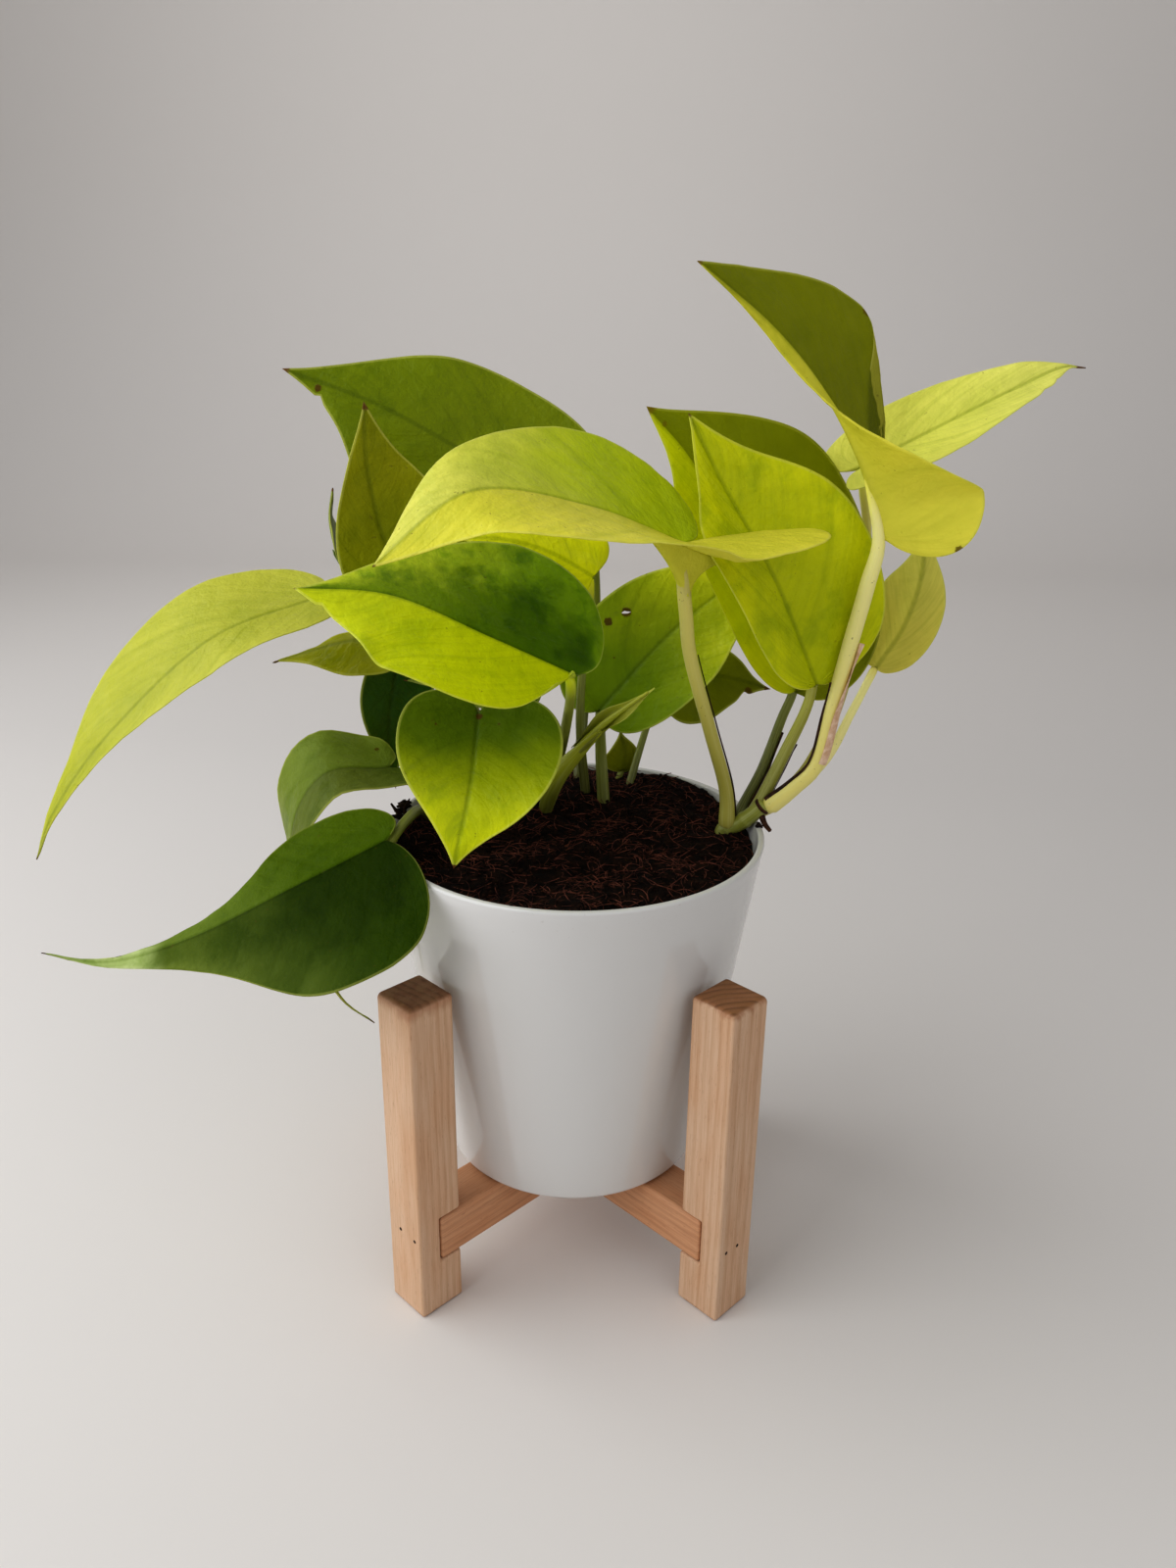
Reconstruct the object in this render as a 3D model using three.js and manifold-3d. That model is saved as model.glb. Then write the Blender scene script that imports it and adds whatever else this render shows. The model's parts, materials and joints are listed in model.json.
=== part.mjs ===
import * as THREE from "three";
import { mergeVertices } from "three/addons/utils/BufferGeometryUtils.js";
import Module from "manifold-3d";

// A heart-leaf aroid with lime leaves, in a white cone pot that rests in a wooden stand:
// four square legs joined by two halved crossbars. Millimetres, +Z up, floor at z = 0.

const wasm = await Module();
wasm.setup();

// Stand
const LEG_SIDE = 15;
const LEG_HEIGHT = 106;
const LEG_OUT = 61.5; // stand axis to leg axis
const BAR_HEIGHT = 14.7;
const BAR_BOTTOM = 17.6;
const EDGE_ROUND = 0.8; // sanded edges
const GAP = 0.3; // between pieces that touch

// Pot
const POT_BASE_R = 40.3;
const POT_RIM_R = 56.2;
const POT_BOTTOM = BAR_BOTTOM + BAR_HEIGHT + GAP;
const POT_TOP = 137.4;
const POT_WALL = 2;

// Soil
const SOIL_TOP = 133;
const SOIL_CLEAR = 0.3; // soil to pot wall
const ROOT_DEPTH = 12; // stalks go this far down
const HOLE_CLEAR = 0.6; // stalk to soil

// Leaves
const BLADE_HALF = 0.45; // half of a blade's thickness
const KEEL = 0.9; // extra depth of the midrib at the leaf's base
const ROWS = 12; // cross lines from midrib to margin
const COLS = 3; // steps along each cross line
const FAN = 0.3; // share of the cross lines that start at the leaf's base

// The eye that every leaf's place is measured from. A leaf point is [across, down, depth]:
// across and down as seen from the eye in a 1200 x 1600 frame, depth as its real y.
const EYE = new THREE.Vector3(3.6, -331.7, 280);
const EYE_PITCH = 21.23; // degrees below level
const EYE_ROLL = 0.7; // degrees
const EYE_FOCAL = 1230;

const COLOURS = {
  lime: 0xb4cc2c, pale: 0xcfd860, green: 0x4e7f25, olive: 0x7f8f26,
  wood: 0xc9986a, bar: 0xb9794b, pot: 0xf0f2f2, soil: 0x2a1a12,
};

// rib: leaf base to tip. left, right: the widest point of each half, as seen on the upper face, tip ahead.
// lobe, belly, shoulder, neck, tail: each half's outline in leaf lengths (tail in half widths).
// twist: degrees that each half turns towards the tip. cup: degrees that the lobes rise.
// stalk: base to soil. foot: where it enters the soil, [across, down].
const LEAVES = [
  { name: "leaf_01", colour: "green", thick: 2.0, foot: [440, 838], stalk: [[412, 840, -16], [428, 826, 2]],
    rib: [[392, 858, -29], [300, 905, -37], [195, 957, -40], [110, 981, -40], [42, 972, -38]],
    left: [398, 989, -62], right: [338, 831, -12],
    belly: [0.15, 0.2], lobe: [0.06, 0.12], shoulder: [0.42, 0.35], neck: [0.4, 0.35], tail: [0.02, 0.02] },
  { name: "leaf_02", colour: "green", thick: 1.6, foot: [462, 828], stalk: [[418, 790, 10], [442, 806, 16]],
    rib: [[393, 783, 6], [330, 790, 2], [298, 850, 2], [318, 960, 4], [382, 1044, 4]],
    left: [302, 762, 20], right: [345, 806, -8], lobe: [0.04, 0.14] },
  { name: "leaf_03", colour: "lime", thick: 1.7, foot: [506, 846], stalk: [[500, 748, -4], [510, 795, 6]],
    rib: [[488, 728, -13], [480, 800, -30], [470, 850, -38], [463, 886, -40]],
    left: [574, 765, -24], right: [402, 765, -30],
    belly: [0.24, 0.24], shoulder: [0.62, 0.62], tail: [0.28, 0.28], lobe: [0.14, 0.14] },
  { name: "leaf_04", colour: "green", thick: 1.5, foot: [500, 820], stalk: [[430, 696, 36], [470, 750, 37]],
    rib: [[404, 686, 34], [397, 745, 30], [404, 805, 25]], left: [440, 725, 32], right: [367, 715, 30] },
  { name: "leaf_05", colour: "lime", thick: 2.2, foot: [546, 824], stalk: [[581, 724, -10], [568, 780, 18]],
    rib: [[585, 688, -20], [500, 650, -24], [400, 608, -26], [300, 600, -32]],
    left: [415, 692, -46], right: [525, 551, 8],
    belly: [0.5, 0.24], shoulder: [0.85, 0.56], tail: [0.8, 0.12], lobe: [-0.08, 0.12] },
  { name: "leaf_06", colour: "pale", thick: 2.0, foot: [474, 824],
    stalk: [[365, 626, 2], [410, 650, 8], [458, 690, 20], [472, 755, 24]],
    rib: [[322, 610, 2], [215, 652, -14], [115, 745, -24], [60, 820, -28], [37, 877, -28]],
    left: [268, 658, -22], right: [205, 593, 12],
    belly: [0.2, 0.26], shoulder: [0.3, 0.66], tail: [0.1, 0.2], lobe: [0.05, 0.07] },
  { name: "leaf_07", colour: "olive", thick: 2.0, foot: [590, 806], stalk: [[608, 620, 54], [596, 720, 52]],
    rib: [[600, 520, 52], [500, 475, 56], [390, 415, 58], [288, 376, 58]],
    left: [440, 560, 48], right: [525, 389, 66],
    belly: [0.45, 0.38], shoulder: [0.75, 0.66], tail: [0.25, 0.42], lobe: [0.1, 0.04] },
  { name: "leaf_08", colour: "olive", thick: 1.8, foot: [535, 808], stalk: [[475, 672, 38], [512, 740, 42]],
    rib: [[430, 630, 34], [395, 560, 34], [375, 480, 34], [371, 410, 34]],
    left: [348, 590, 28], right: [490, 565, 38],
    shoulder: [0.55, 0.6], tail: [0.2, 0.42], lobe: [0.08, 0.12] },
  { name: "leaf_09", colour: "lime", thick: 2.3, foot: [616, 826], stalk: [[613, 765, 26]],
    rib: [[612, 724, 22], [680, 650, 28], [740, 600, 34], [800, 550, 40]],
    left: [625, 600, 34], right: [705, 715, 14],
    belly: [0.25, 0.35], shoulder: [0.6, 0.6], tail: [0.2, 0.3], lobe: [0.08, 0.04] },
  { name: "leaf_10", colour: "olive", thick: 1.5, foot: [640, 812], stalk: [[662, 735, 44]],
    rib: [[680, 690, 46], [735, 690, 48], [786, 703, 50]], left: [720, 650, 54], right: [715, 738, 40],
    tail: [0.2, 0.2], shoulder: [0.6, 0.6], lobe: [0.05, 0.05] },
  { name: "leaf_11", colour: "lime", thick: 1.7, foot: [598, 818], stalk: [[596, 660, 16], [592, 740, 18]],
    rib: [[605, 588, 14], [560, 563, 14], [510, 550, 12], [452, 548, 10]],
    left: [570, 606, 8], right: [590, 530, 26], lobe: [0.1, 0.1] },
  { name: "leaf_12", colour: "olive", thick: 1.5, foot: [520, 818], stalk: [[438, 664, 28], [492, 735, 33]],
    rib: [[396, 652, 18], [350, 655, 20], [278, 676, 22]], left: [368, 690, 10], right: [360, 642, 27] },
  { name: "leaf_13", colour: "green", thick: 1.2, foot: [512, 804], stalk: [[378, 620, 42], [440, 720, 46]],
    rib: [[346, 565, 38], [338, 530, 38], [340, 498, 38]], left: [336, 535, 30], right: [344, 535, 46] },
  { name: "leaf_14", colour: "green", thick: 1.5, foot: [528, 828], stalk: [[545, 740, 14]],
    rib: [[540, 694, 6], [480, 694, 4], [412, 694, 2]], left: [488, 725, -7], right: [495, 664, 20],
    lobe: [0.1, 0.1] },
  { name: "leaf_15", colour: "olive", thick: 1.4, foot: [626, 804], stalk: [[630, 796, 42]],
    rib: [[636, 786, 42], [638, 768, 42], [632, 744, 42]], left: [616, 776, 42], right: [652, 772, 44],
    lobe: [0.05, 0.05], shoulder: [0.6, 0.6] },
];

// Leaves that grow from the stem lying over the rim on the right.
const VINE_STEM = { thick: 2.6, foot: [738, 850], line: [[752, 841, 6], [766, 832, 5], [780, 821, 4]] };
const VINE_LEAVES = [
  { name: "leaf_16", thick: 2.5, end: [742, 846, 6], stalk: [[710, 660, -4], [728, 745, 2], [742, 805, 6]],
    rib: [[697, 554, -12], [600, 516, -26], [480, 502, -40], [380, 578, -52]],
    left: [690, 541, -50], right: [620, 448, 8], belly: [0.1, 0.2],
    shoulder: [0.6, 0.4], neck: [0.8, 0.76], tail: [0.32, 0.3], lobe: [0.38, 0.1], cup: [28, 10],
    twist: [-32, 0] },
  { name: "leaf_17", thick: 3.0, end: [780, 826, 4],
    stalk: [[876, 590, 2], [858, 680, 4], [838, 765, 4], [812, 800, 4]],
    rib: [[893, 515, 2], [876, 460, 2], [842, 400, 2], [790, 334, 1], [712, 266, -2]],
    left: [1006, 518, -12], right: [890, 326, 24],
    belly: [0, 0.5], shoulder: [0.06, 0.56], neck: [0.15, 0.83], tail: [0.12, 0.35], lobe: [0.28, -0.27],
    twist: [-170, 0] },
  { name: "leaf_18", thick: 2.0, end: [776, 830, 6], stalk: [[884, 560, 36], [864, 690, 36], [826, 780, 20]],
    rib: [[880, 476, 26], [950, 440, 30], [1030, 400, 34], [1082, 376, 38], [1108, 375, 39]],
    left: [915, 410, 38], right: [935, 478, 14],
    shoulder: [0.66, 0.66], tail: [0.25, 0.25], lobe: [0.14, 0.12] },
  { name: "leaf_19", thick: 2.2, end: [768, 834, 5], stalk: [[822, 725, 6], [800, 770, 8]],
    rib: [[833, 698, 4], [790, 590, 0], [735, 490, -2], [703, 422, -4]],
    left: [722, 560, -12], right: [898, 570, 8],
    belly: [0.48, 0.34], shoulder: [0.8, 0.66], tail: [0.5, 0.45], lobe: [0, 0.04] },
  { name: "leaf_20", thick: 2.0, end: [752, 838, 6], stalk: [[797, 735, 24], [778, 785, 20], [760, 820, 12]],
    rib: [[812, 705, 24], [765, 590, 22], [712, 480, 20], [660, 415, 18]],
    left: [712, 570, 16], right: [876, 520, 26],
    belly: [0.45, 0.4], shoulder: [0.85, 0.82], tail: [0.6, 0.6], lobe: [0, 0.1] },
  { name: "leaf_21", thick: 1.8, end: [779, 826, 6], stalk: [[870, 725, 26], [838, 780, 16]],
    rib: [[895, 680, 28], [922, 640, 28], [940, 590, 30], [945, 535, 32]],
    left: [896, 600, 34], right: [970, 615, 30],
    belly: [0.35, 0.35], shoulder: [0.7, 0.7], tail: [0.3, 0.3], lobe: [0.03, 0.03] },
];

// The new leaf, still rolled in a spike.
const SPIKE = { foot: [556, 832], line: [[566, 798, 6], [588, 768, 0], [620, 736, -4], [667, 702, -10]] };

const radians = THREE.MathUtils.degToRad;

// The eye's view

const ahead = new THREE.Vector3(0, Math.cos(radians(EYE_PITCH)), -Math.sin(radians(EYE_PITCH)));
const level = new THREE.Vector3(1, 0, 0);
const above = level.clone().cross(ahead);
const across = level.clone().applyAxisAngle(ahead, -radians(EYE_ROLL));
const upward = above.clone().applyAxisAngle(ahead, -radians(EYE_ROLL));

function sightLine(u, v) {
  return ahead.clone()
    .addScaledVector(across, (u - 600) / EYE_FOCAL)
    .addScaledVector(upward, (800 - v) / EYE_FOCAL);
}

function seen([u, v, depth]) {
  const line = sightLine(u, v);
  return line.multiplyScalar((depth - EYE.y) / line.y).add(EYE);
}

function onSoil([u, v]) {
  const line = sightLine(u, v);
  return line.multiplyScalar((SOIL_TOP - EYE.z) / line.z).add(EYE);
}

// Solids

function solidOf(geometry) {
  const plain = new THREE.BufferGeometry();
  plain.setAttribute("position", geometry.getAttribute("position"));
  if (geometry.index) plain.setIndex(geometry.index);
  const merged = mergeVertices(plain, 1e-4);
  return new wasm.Manifold(new wasm.Mesh({
    numProp: 3,
    vertProperties: new Float32Array(merged.getAttribute("position").array),
    triVerts: new Uint32Array(merged.index.array),
  }));
}

function geometryOf(solid) {
  const mesh = solid.getMesh();
  const geometry = new THREE.BufferGeometry();
  geometry.setAttribute("position", new THREE.BufferAttribute(new Float32Array(mesh.vertProperties), 3));
  geometry.setIndex(new THREE.BufferAttribute(new Uint32Array(mesh.triVerts), 1));
  geometry.computeVertexNormals();
  return geometry;
}

const curveThrough = (points) => new THREE.CatmullRomCurve3(points, false, "catmullrom", 0.5);

// A round stalk along a curve, closed at both ends. radiusAt takes 0 at the start and 1 at the end.
function stalkGeometry(curve, radiusAt, steps, sides) {
  const frames = curve.computeFrenetFrames(steps, false);
  const positions = [];
  const index = [];
  for (let i = 0; i <= steps; i++) {
    const centre = curve.getPointAt(i / steps);
    const r = radiusAt(i / steps);
    for (let k = 0; k < sides; k++) {
      const a = (2 * Math.PI * k) / sides;
      const p = centre.clone()
        .addScaledVector(frames.normals[i], r * Math.cos(a))
        .addScaledVector(frames.binormals[i], r * Math.sin(a));
      positions.push(p.x, p.y, p.z);
    }
  }
  const first = positions.length / 3;
  const start = curve.getPointAt(0);
  const end = curve.getPointAt(1);
  positions.push(start.x, start.y, start.z, end.x, end.y, end.z);
  for (let k = 0; k < sides; k++) {
    const n = (k + 1) % sides;
    for (let i = 0; i < steps; i++) {
      const a = i * sides + k;
      const b = i * sides + n;
      index.push(a, b, b + sides, a, b + sides, a + sides);
    }
    index.push(first, n, k, first + 1, steps * sides + k, steps * sides + n);
  }
  const geometry = new THREE.BufferGeometry();
  geometry.setAttribute("position", new THREE.Float32BufferAttribute(positions, 3));
  geometry.setIndex(index);
  return geometry;
}

// Leaf shapes

const bezier = (a, b, c, d, t) =>
  (1 - t) ** 3 * a + 3 * (1 - t) ** 2 * t * b + 3 * (1 - t) * t * t * c + t ** 3 * d;

// The margin of one half: x in half widths, y in leaf lengths, from the notch at the base to the tip.
function marginAt(u, { lobe, belly, shoulder, neck, tail }) {
  const share = 0.45;
  if (u < share) {
    const t = u / share;
    return [bezier(0, 0.15, 1, 1, t), bezier(0, -1.5 * lobe, -1.25 * lobe, belly, t)];
  }
  const t = (u - share) / (1 - share);
  return [bezier(1, 1, tail, 0, t), bezier(belly, shoulder, neck, 1, t)];
}

function halfOf(leaf, side) {
  const pick = (key, usual) => (leaf[key] ? leaf[key][side] : usual);
  return {
    lobe: pick("lobe", 0.16), belly: pick("belly", 0.2), shoulder: pick("shoulder", 0.5),
    neck: pick("neck", 0.7), tail: pick("tail", 0.05), twist: radians(pick("twist", 0)),
    cup: radians(pick("cup", 0)), curl: radians(pick("curl", 14)),
    widest: seen(side ? leaf.right : leaf.left), sign: side ? 1 : -1,
  };
}

const squareTo = (v, axis) => v.clone().addScaledVector(axis, -v.dot(axis)).normalize();

// One closed blade: an upper and a lower face split alike, and a narrow edge round the margin.
function bladeGeometry(leaf) {
  const rib = curveThrough(leaf.rib.map(seen));
  const length = rib.getLength();
  const points = [];
  const keel = [];
  const add = (p, k = 0) => (points.push(p), keel.push(k), points.length - 1);
  const base = add(rib.getPointAt(0), KEEL);
  const tip = add(rib.getPointAt(1));
  const starts = [];
  const ribIds = [];
  for (let i = 0; i < ROWS; i++) {
    const start = Math.max(0, (i / ROWS - FAN) / (1 - FAN));
    starts.push(start);
    ribIds.push(start > 0 ? add(rib.getPointAt(start), KEEL * (1 - start)) : base);
  }
  const faces = [];
  for (const side of [0, 1]) {
    const half = halfOf(leaf, side);
    const axis = rib.getTangentAt(half.belly);
    const reach = half.widest.clone().sub(rib.getPointAt(half.belly));
    const outward = squareTo(reach, axis);
    const width = reach.dot(outward);
    const grid = starts.map((start, i) => {
      const [mx, my] = marginAt(0.05 + 0.95 * (i / ROWS), half);
      const row = [ribIds[i]];
      for (let j = 1; j <= COLS; j++) {
        const x = mx * width * (j / COLS);
        const y = start + (my - start) * (j / COLS);
        const along = rib.getTangentAt(THREE.MathUtils.clamp(y, 0, 1));
        let out = squareTo(outward, along);
        let up = out.clone().cross(along).multiplyScalar(half.sign);
        const p = rib.getPointAt(THREE.MathUtils.clamp(y, 0, 1));
        const behind = Math.min(y, 0) * length;
        p.addScaledVector(along, behind * Math.cos(half.cup));
        p.addScaledVector(up, -behind * Math.sin(half.cup));
        const turn = half.twist * THREE.MathUtils.clamp((y - half.belly) / (1 - half.belly), 0, 1);
        [out, up] = [
          out.clone().multiplyScalar(Math.cos(turn)).addScaledVector(up, Math.sin(turn)),
          up.clone().multiplyScalar(Math.cos(turn)).addScaledVector(out, -Math.sin(turn)),
        ];
        const lean = -half.curl / 2;
        const bend = lean + (half.curl * x) / width;
        const radius = width / half.curl;
        p.addScaledVector(out, (Math.sin(bend) - Math.sin(lean)) * radius)
          .addScaledVector(up, (Math.cos(lean) - Math.cos(bend)) * radius);
        row.push(add(p));
      }
      return row;
    });
    grid.push(Array(COLS + 1).fill(tip));
    for (let i = 0; i < ROWS; i++) {
      for (let j = 0; j < COLS; j++) {
        const [a, b, c, d] = [grid[i][j], grid[i][j + 1], grid[i + 1][j + 1], grid[i + 1][j]];
        for (const face of [[a, b, c], [a, c, d]]) {
          if (new Set(face).size === 3) faces.push(side ? face : [face[0], face[2], face[1]]);
        }
      }
    }
  }
  return thicken(points, faces, keel);
}

function thicken(points, faces, keel) {
  const normals = points.map(() => new THREE.Vector3());
  const edges = new Map();
  for (const [a, b, c] of faces) {
    const n = points[b].clone().sub(points[a]).cross(points[c].clone().sub(points[a]));
    for (const k of [a, b, c]) normals[k].add(n);
    for (const [p, q] of [[a, b], [b, c], [c, a]]) edges.set(`${p},${q}`, [p, q]);
  }
  const positions = [];
  const place = (shift) => points.forEach((p, k) => {
    const q = p.clone().addScaledVector(normals[k].normalize(), shift(k));
    positions.push(q.x, q.y, q.z);
  });
  place(() => BLADE_HALF);
  place((k) => -BLADE_HALF - keel[k]);
  const n = points.length;
  const index = [];
  for (const [a, b, c] of faces) index.push(a, b, c, a + n, c + n, b + n);
  for (const [p, q] of edges.values()) {
    if (!edges.has(`${q},${p}`)) index.push(q, p, p + n, q, p + n, q + n);
  }
  const geometry = new THREE.BufferGeometry();
  geometry.setAttribute("position", new THREE.Float32BufferAttribute(positions, 3));
  geometry.setIndex(index);
  return geometry;
}

// A leaf's stalk, from its end in the soil or on the stem to a little way under the midrib.
function stalkCurve(leaf) {
  const rib = leaf.rib ? curveThrough(leaf.rib.map(seen)) : null;
  const line = leaf.foot ? rootOf(leaf.foot) : [seen(leaf.end)];
  if (!rib) return curveThrough([...line, ...leaf.line.map(seen)]);
  line.push(...leaf.stalk.map(seen).reverse());
  const up = upperSide(leaf, rib);
  line.push(rib.getPointAt(0).addScaledVector(up, -0.6 * leaf.thick));
  line.push(rib.getPointAt(0.07).addScaledVector(up, -0.9));
  return curveThrough(line);
}

function rootOf(foot) {
  const top = onSoil(foot);
  return [SOIL_TOP - ROOT_DEPTH, SOIL_TOP - 4, SOIL_TOP + 1].map((z) => top.clone().setZ(z));
}

function upperSide(leaf, rib) {
  const along = rib.getTangentAt(0.02);
  const right = squareTo(seen(leaf.right).sub(rib.getPointAt(0.2)), along);
  const left = squareTo(seen(leaf.left).sub(rib.getPointAt(0.2)), along);
  return right.cross(along).sub(left.cross(along)).normalize();
}

const taper = (thick, extra = 0) => (t) => thick * (1 - 0.38 * t) + extra;

function leafSolid(leaf) {
  return solidOf(bladeGeometry(leaf)).add(solidOf(stalkGeometry(stalkCurve(leaf), taper(leaf.thick), 10, 6)));
}

// The stand

function barGeometry(length, width, height) {
  const r = EDGE_ROUND;
  const [w, h] = [width / 2, height / 2];
  const outline = new THREE.Shape();
  outline.moveTo(-w + r, -h);
  outline.lineTo(w - r, -h).quadraticCurveTo(w, -h, w, -h + r);
  outline.lineTo(w, h - r).quadraticCurveTo(w, h, w - r, h);
  outline.lineTo(-w + r, h).quadraticCurveTo(-w, h, -w, h - r);
  outline.lineTo(-w, -h + r).quadraticCurveTo(-w, -h, -w + r, -h);
  const bevel = 0.6;
  const geometry = new THREE.ExtrudeGeometry(outline, {
    depth: length - 2 * bevel, curveSegments: 2,
    bevelThickness: bevel, bevelSize: bevel, bevelOffset: -bevel, bevelSegments: 1,
  });
  return geometry.translate(0, 0, bevel);
}

// A leg stands with its faces along the bars. Its inner half is let out for the bar's end.
function legSolid(angle) {
  const notch = new THREE.BoxGeometry(LEG_SIDE, LEG_SIDE + 2, BAR_HEIGHT + 2 * GAP);
  notch.translate(LEG_OUT - LEG_SIDE / 2, 0, BAR_BOTTOM + BAR_HEIGHT / 2);
  const leg = barGeometry(LEG_HEIGHT, LEG_SIDE, LEG_SIDE).translate(LEG_OUT, 0, 0);
  return solidOf(leg.rotateZ(angle)).subtract(solidOf(notch.rotateZ(angle)));
}

// The two bars cross in a halved joint: the upper bar is cut below, the lower one above.
function crossbarSolid(angle, cutAbove) {
  const length = 2 * (LEG_OUT - GAP);
  const bar = barGeometry(length, BAR_HEIGHT, LEG_SIDE).rotateY(Math.PI / 2).translate(-length / 2, 0, 0);
  bar.translate(0, 0, BAR_BOTTOM + BAR_HEIGHT / 2);
  const cut = new THREE.BoxGeometry(LEG_SIDE + 2 * GAP, LEG_SIDE + 2, BAR_HEIGHT);
  const middle = BAR_BOTTOM + BAR_HEIGHT / 2;
  cut.translate(0, 0, cutAbove ? middle + BAR_HEIGHT / 2 - GAP / 2 : middle - BAR_HEIGHT / 2 + GAP / 2);
  return solidOf(bar.rotateZ(angle)).subtract(solidOf(cut.rotateZ(angle)));
}

// The pot and its soil

const potInnerR = (z) => {
  const floor = POT_BOTTOM + 2.4;
  const low = POT_BASE_R - POT_WALL + 0.4;
  return low + ((z - floor) / (POT_TOP - floor)) * (POT_RIM_R - POT_WALL - low);
};

function potGeometry() {
  const floor = POT_BOTTOM + 2.4;
  const slope = (POT_RIM_R - POT_BASE_R) / (POT_TOP - POT_BOTTOM);
  const profile = [
    [0, POT_BOTTOM], [POT_BASE_R - 2.2, POT_BOTTOM], [POT_BASE_R - 0.7, POT_BOTTOM + 0.5],
    [POT_BASE_R + 0.2, POT_BOTTOM + 2], [POT_RIM_R - 3 * slope, POT_TOP - 3], [POT_RIM_R, POT_TOP - 0.9],
    [POT_RIM_R - 0.7, POT_TOP], [POT_RIM_R - POT_WALL + 0.5, POT_TOP], [POT_RIM_R - POT_WALL, POT_TOP - 0.7],
    [potInnerR(floor + 1.5), floor + 1.5], [potInnerR(floor) - 1.5, floor], [0, floor],
  ];
  return new THREE.LatheGeometry(profile.map(([r, z]) => new THREE.Vector2(r, z)), 56).rotateX(Math.PI / 2);
}

const soilHeight = (x, y) =>
  SOIL_TOP + 0.9 * Math.sin(x / 7 + 1.3) * Math.cos(y / 6) + 0.7 * Math.sin((x - 2 * y) / 11)
  - 0.6 * ((x * x + y * y) / 2600) ** 3;

function soilSolid(stalks) {
  const low = POT_BOTTOM + 2.4 + SOIL_CLEAR;
  const radii = [0, 11, 22, 32, 42, 49, potInnerR(SOIL_TOP) - SOIL_CLEAR];
  const profile = [
    new THREE.Vector2(0, low), new THREE.Vector2(potInnerR(low) - 2.4, low),
    new THREE.Vector2(potInnerR(low + 2) - SOIL_CLEAR, low + 2),
    ...radii.reverse().map((r) => new THREE.Vector2(r, SOIL_TOP)),
  ];
  const body = new THREE.LatheGeometry(profile, 40).rotateX(Math.PI / 2);
  const position = body.getAttribute("position");
  for (let k = 0; k < position.count; k++) {
    if (position.getZ(k) > SOIL_TOP - 1) {
      position.setZ(k, soilHeight(position.getX(k), position.getY(k)) - 0.4);
    }
  }
  let soil = solidOf(body);
  for (const stalk of stalks) soil = soil.subtract(stalk);
  return soil.decompose().reduce((a, b) => (b.volume() > a.volume() ? b : a));
}

// The whole part

const plant = new THREE.Group();

function addPiece(name, solid, colour, roughness) {
  const material = new THREE.MeshStandardMaterial({ color: COLOURS[colour], roughness, metalness: 0 });
  const mesh = new THREE.Mesh(geometryOf(solid), material);
  mesh.name = name;
  plant.add(mesh);
}

const quarter = Math.PI / 4;
addPiece("leg_front_left", legSolid(-3 * quarter), "wood", 0.6);
addPiece("leg_front_right", legSolid(-quarter), "wood", 0.6);
addPiece("leg_back_right", legSolid(quarter), "wood", 0.6);
addPiece("leg_back_left", legSolid(3 * quarter), "wood", 0.6);
addPiece("crossbar_lower", crossbarSolid(quarter, true), "bar", 0.6);
addPiece("crossbar_upper", crossbarSolid(-quarter, false), "bar", 0.6);
addPiece("pot", solidOf(potGeometry()), "pot", 0.12);

const holes = [];
const holeFor = (curve, radiusAt) => holes.push(solidOf(stalkGeometry(curve, radiusAt, 10, 6)));

for (const leaf of LEAVES) {
  addPiece(leaf.name, leafSolid(leaf), leaf.colour, 0.4);
  holeFor(stalkCurve(leaf), taper(leaf.thick, HOLE_CLEAR));
}

const stemCurve = stalkCurve(VINE_STEM);
let vine = solidOf(stalkGeometry(stemCurve, () => VINE_STEM.thick, 10, 6));
for (const leaf of VINE_LEAVES) vine = vine.add(leafSolid(leaf));
addPiece("vine_right", vine, "lime", 0.4);
holeFor(stemCurve, () => VINE_STEM.thick + HOLE_CLEAR);

const spikeCurve = stalkCurve(SPIKE);
const spikeRadius = (t) => 1.3 + 1.1 * Math.sin(Math.PI * Math.min(1, t * 1.15)) - 0.9 * t ** 3;
addPiece("leaf_rolled", solidOf(stalkGeometry(spikeCurve, spikeRadius, 10, 8)), "lime", 0.4);
holeFor(spikeCurve, (t) => spikeRadius(t) + HOLE_CLEAR);

addPiece("soil", soilSolid(holes), "soil", 0.95);

// The part's origin: the middle of its outline on the floor.
const box = new THREE.Box3().setFromObject(plant);
plant.position.set(-(box.min.x + box.max.x) / 2, -(box.min.y + box.max.y) / 2, 0);

export default plant;
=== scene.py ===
"""A heart-leaf aroid in a white cone pot, resting in a wooden stand, dressed round the packed model.

The file is laid out as an add-on: property groups hold the sizes and colours, an operator makes each
group of pieces, and main() runs them in order. Depths and sizes in the tables are millimetres in the
stand's own axes, and every mesh is in metres in the packed model's frame.
"""

import json
import math

import bpy
import numpy as np
from bpy.props import FloatProperty, FloatVectorProperty, IntProperty, PointerProperty
from mathutils import Matrix, Vector, noise


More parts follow.
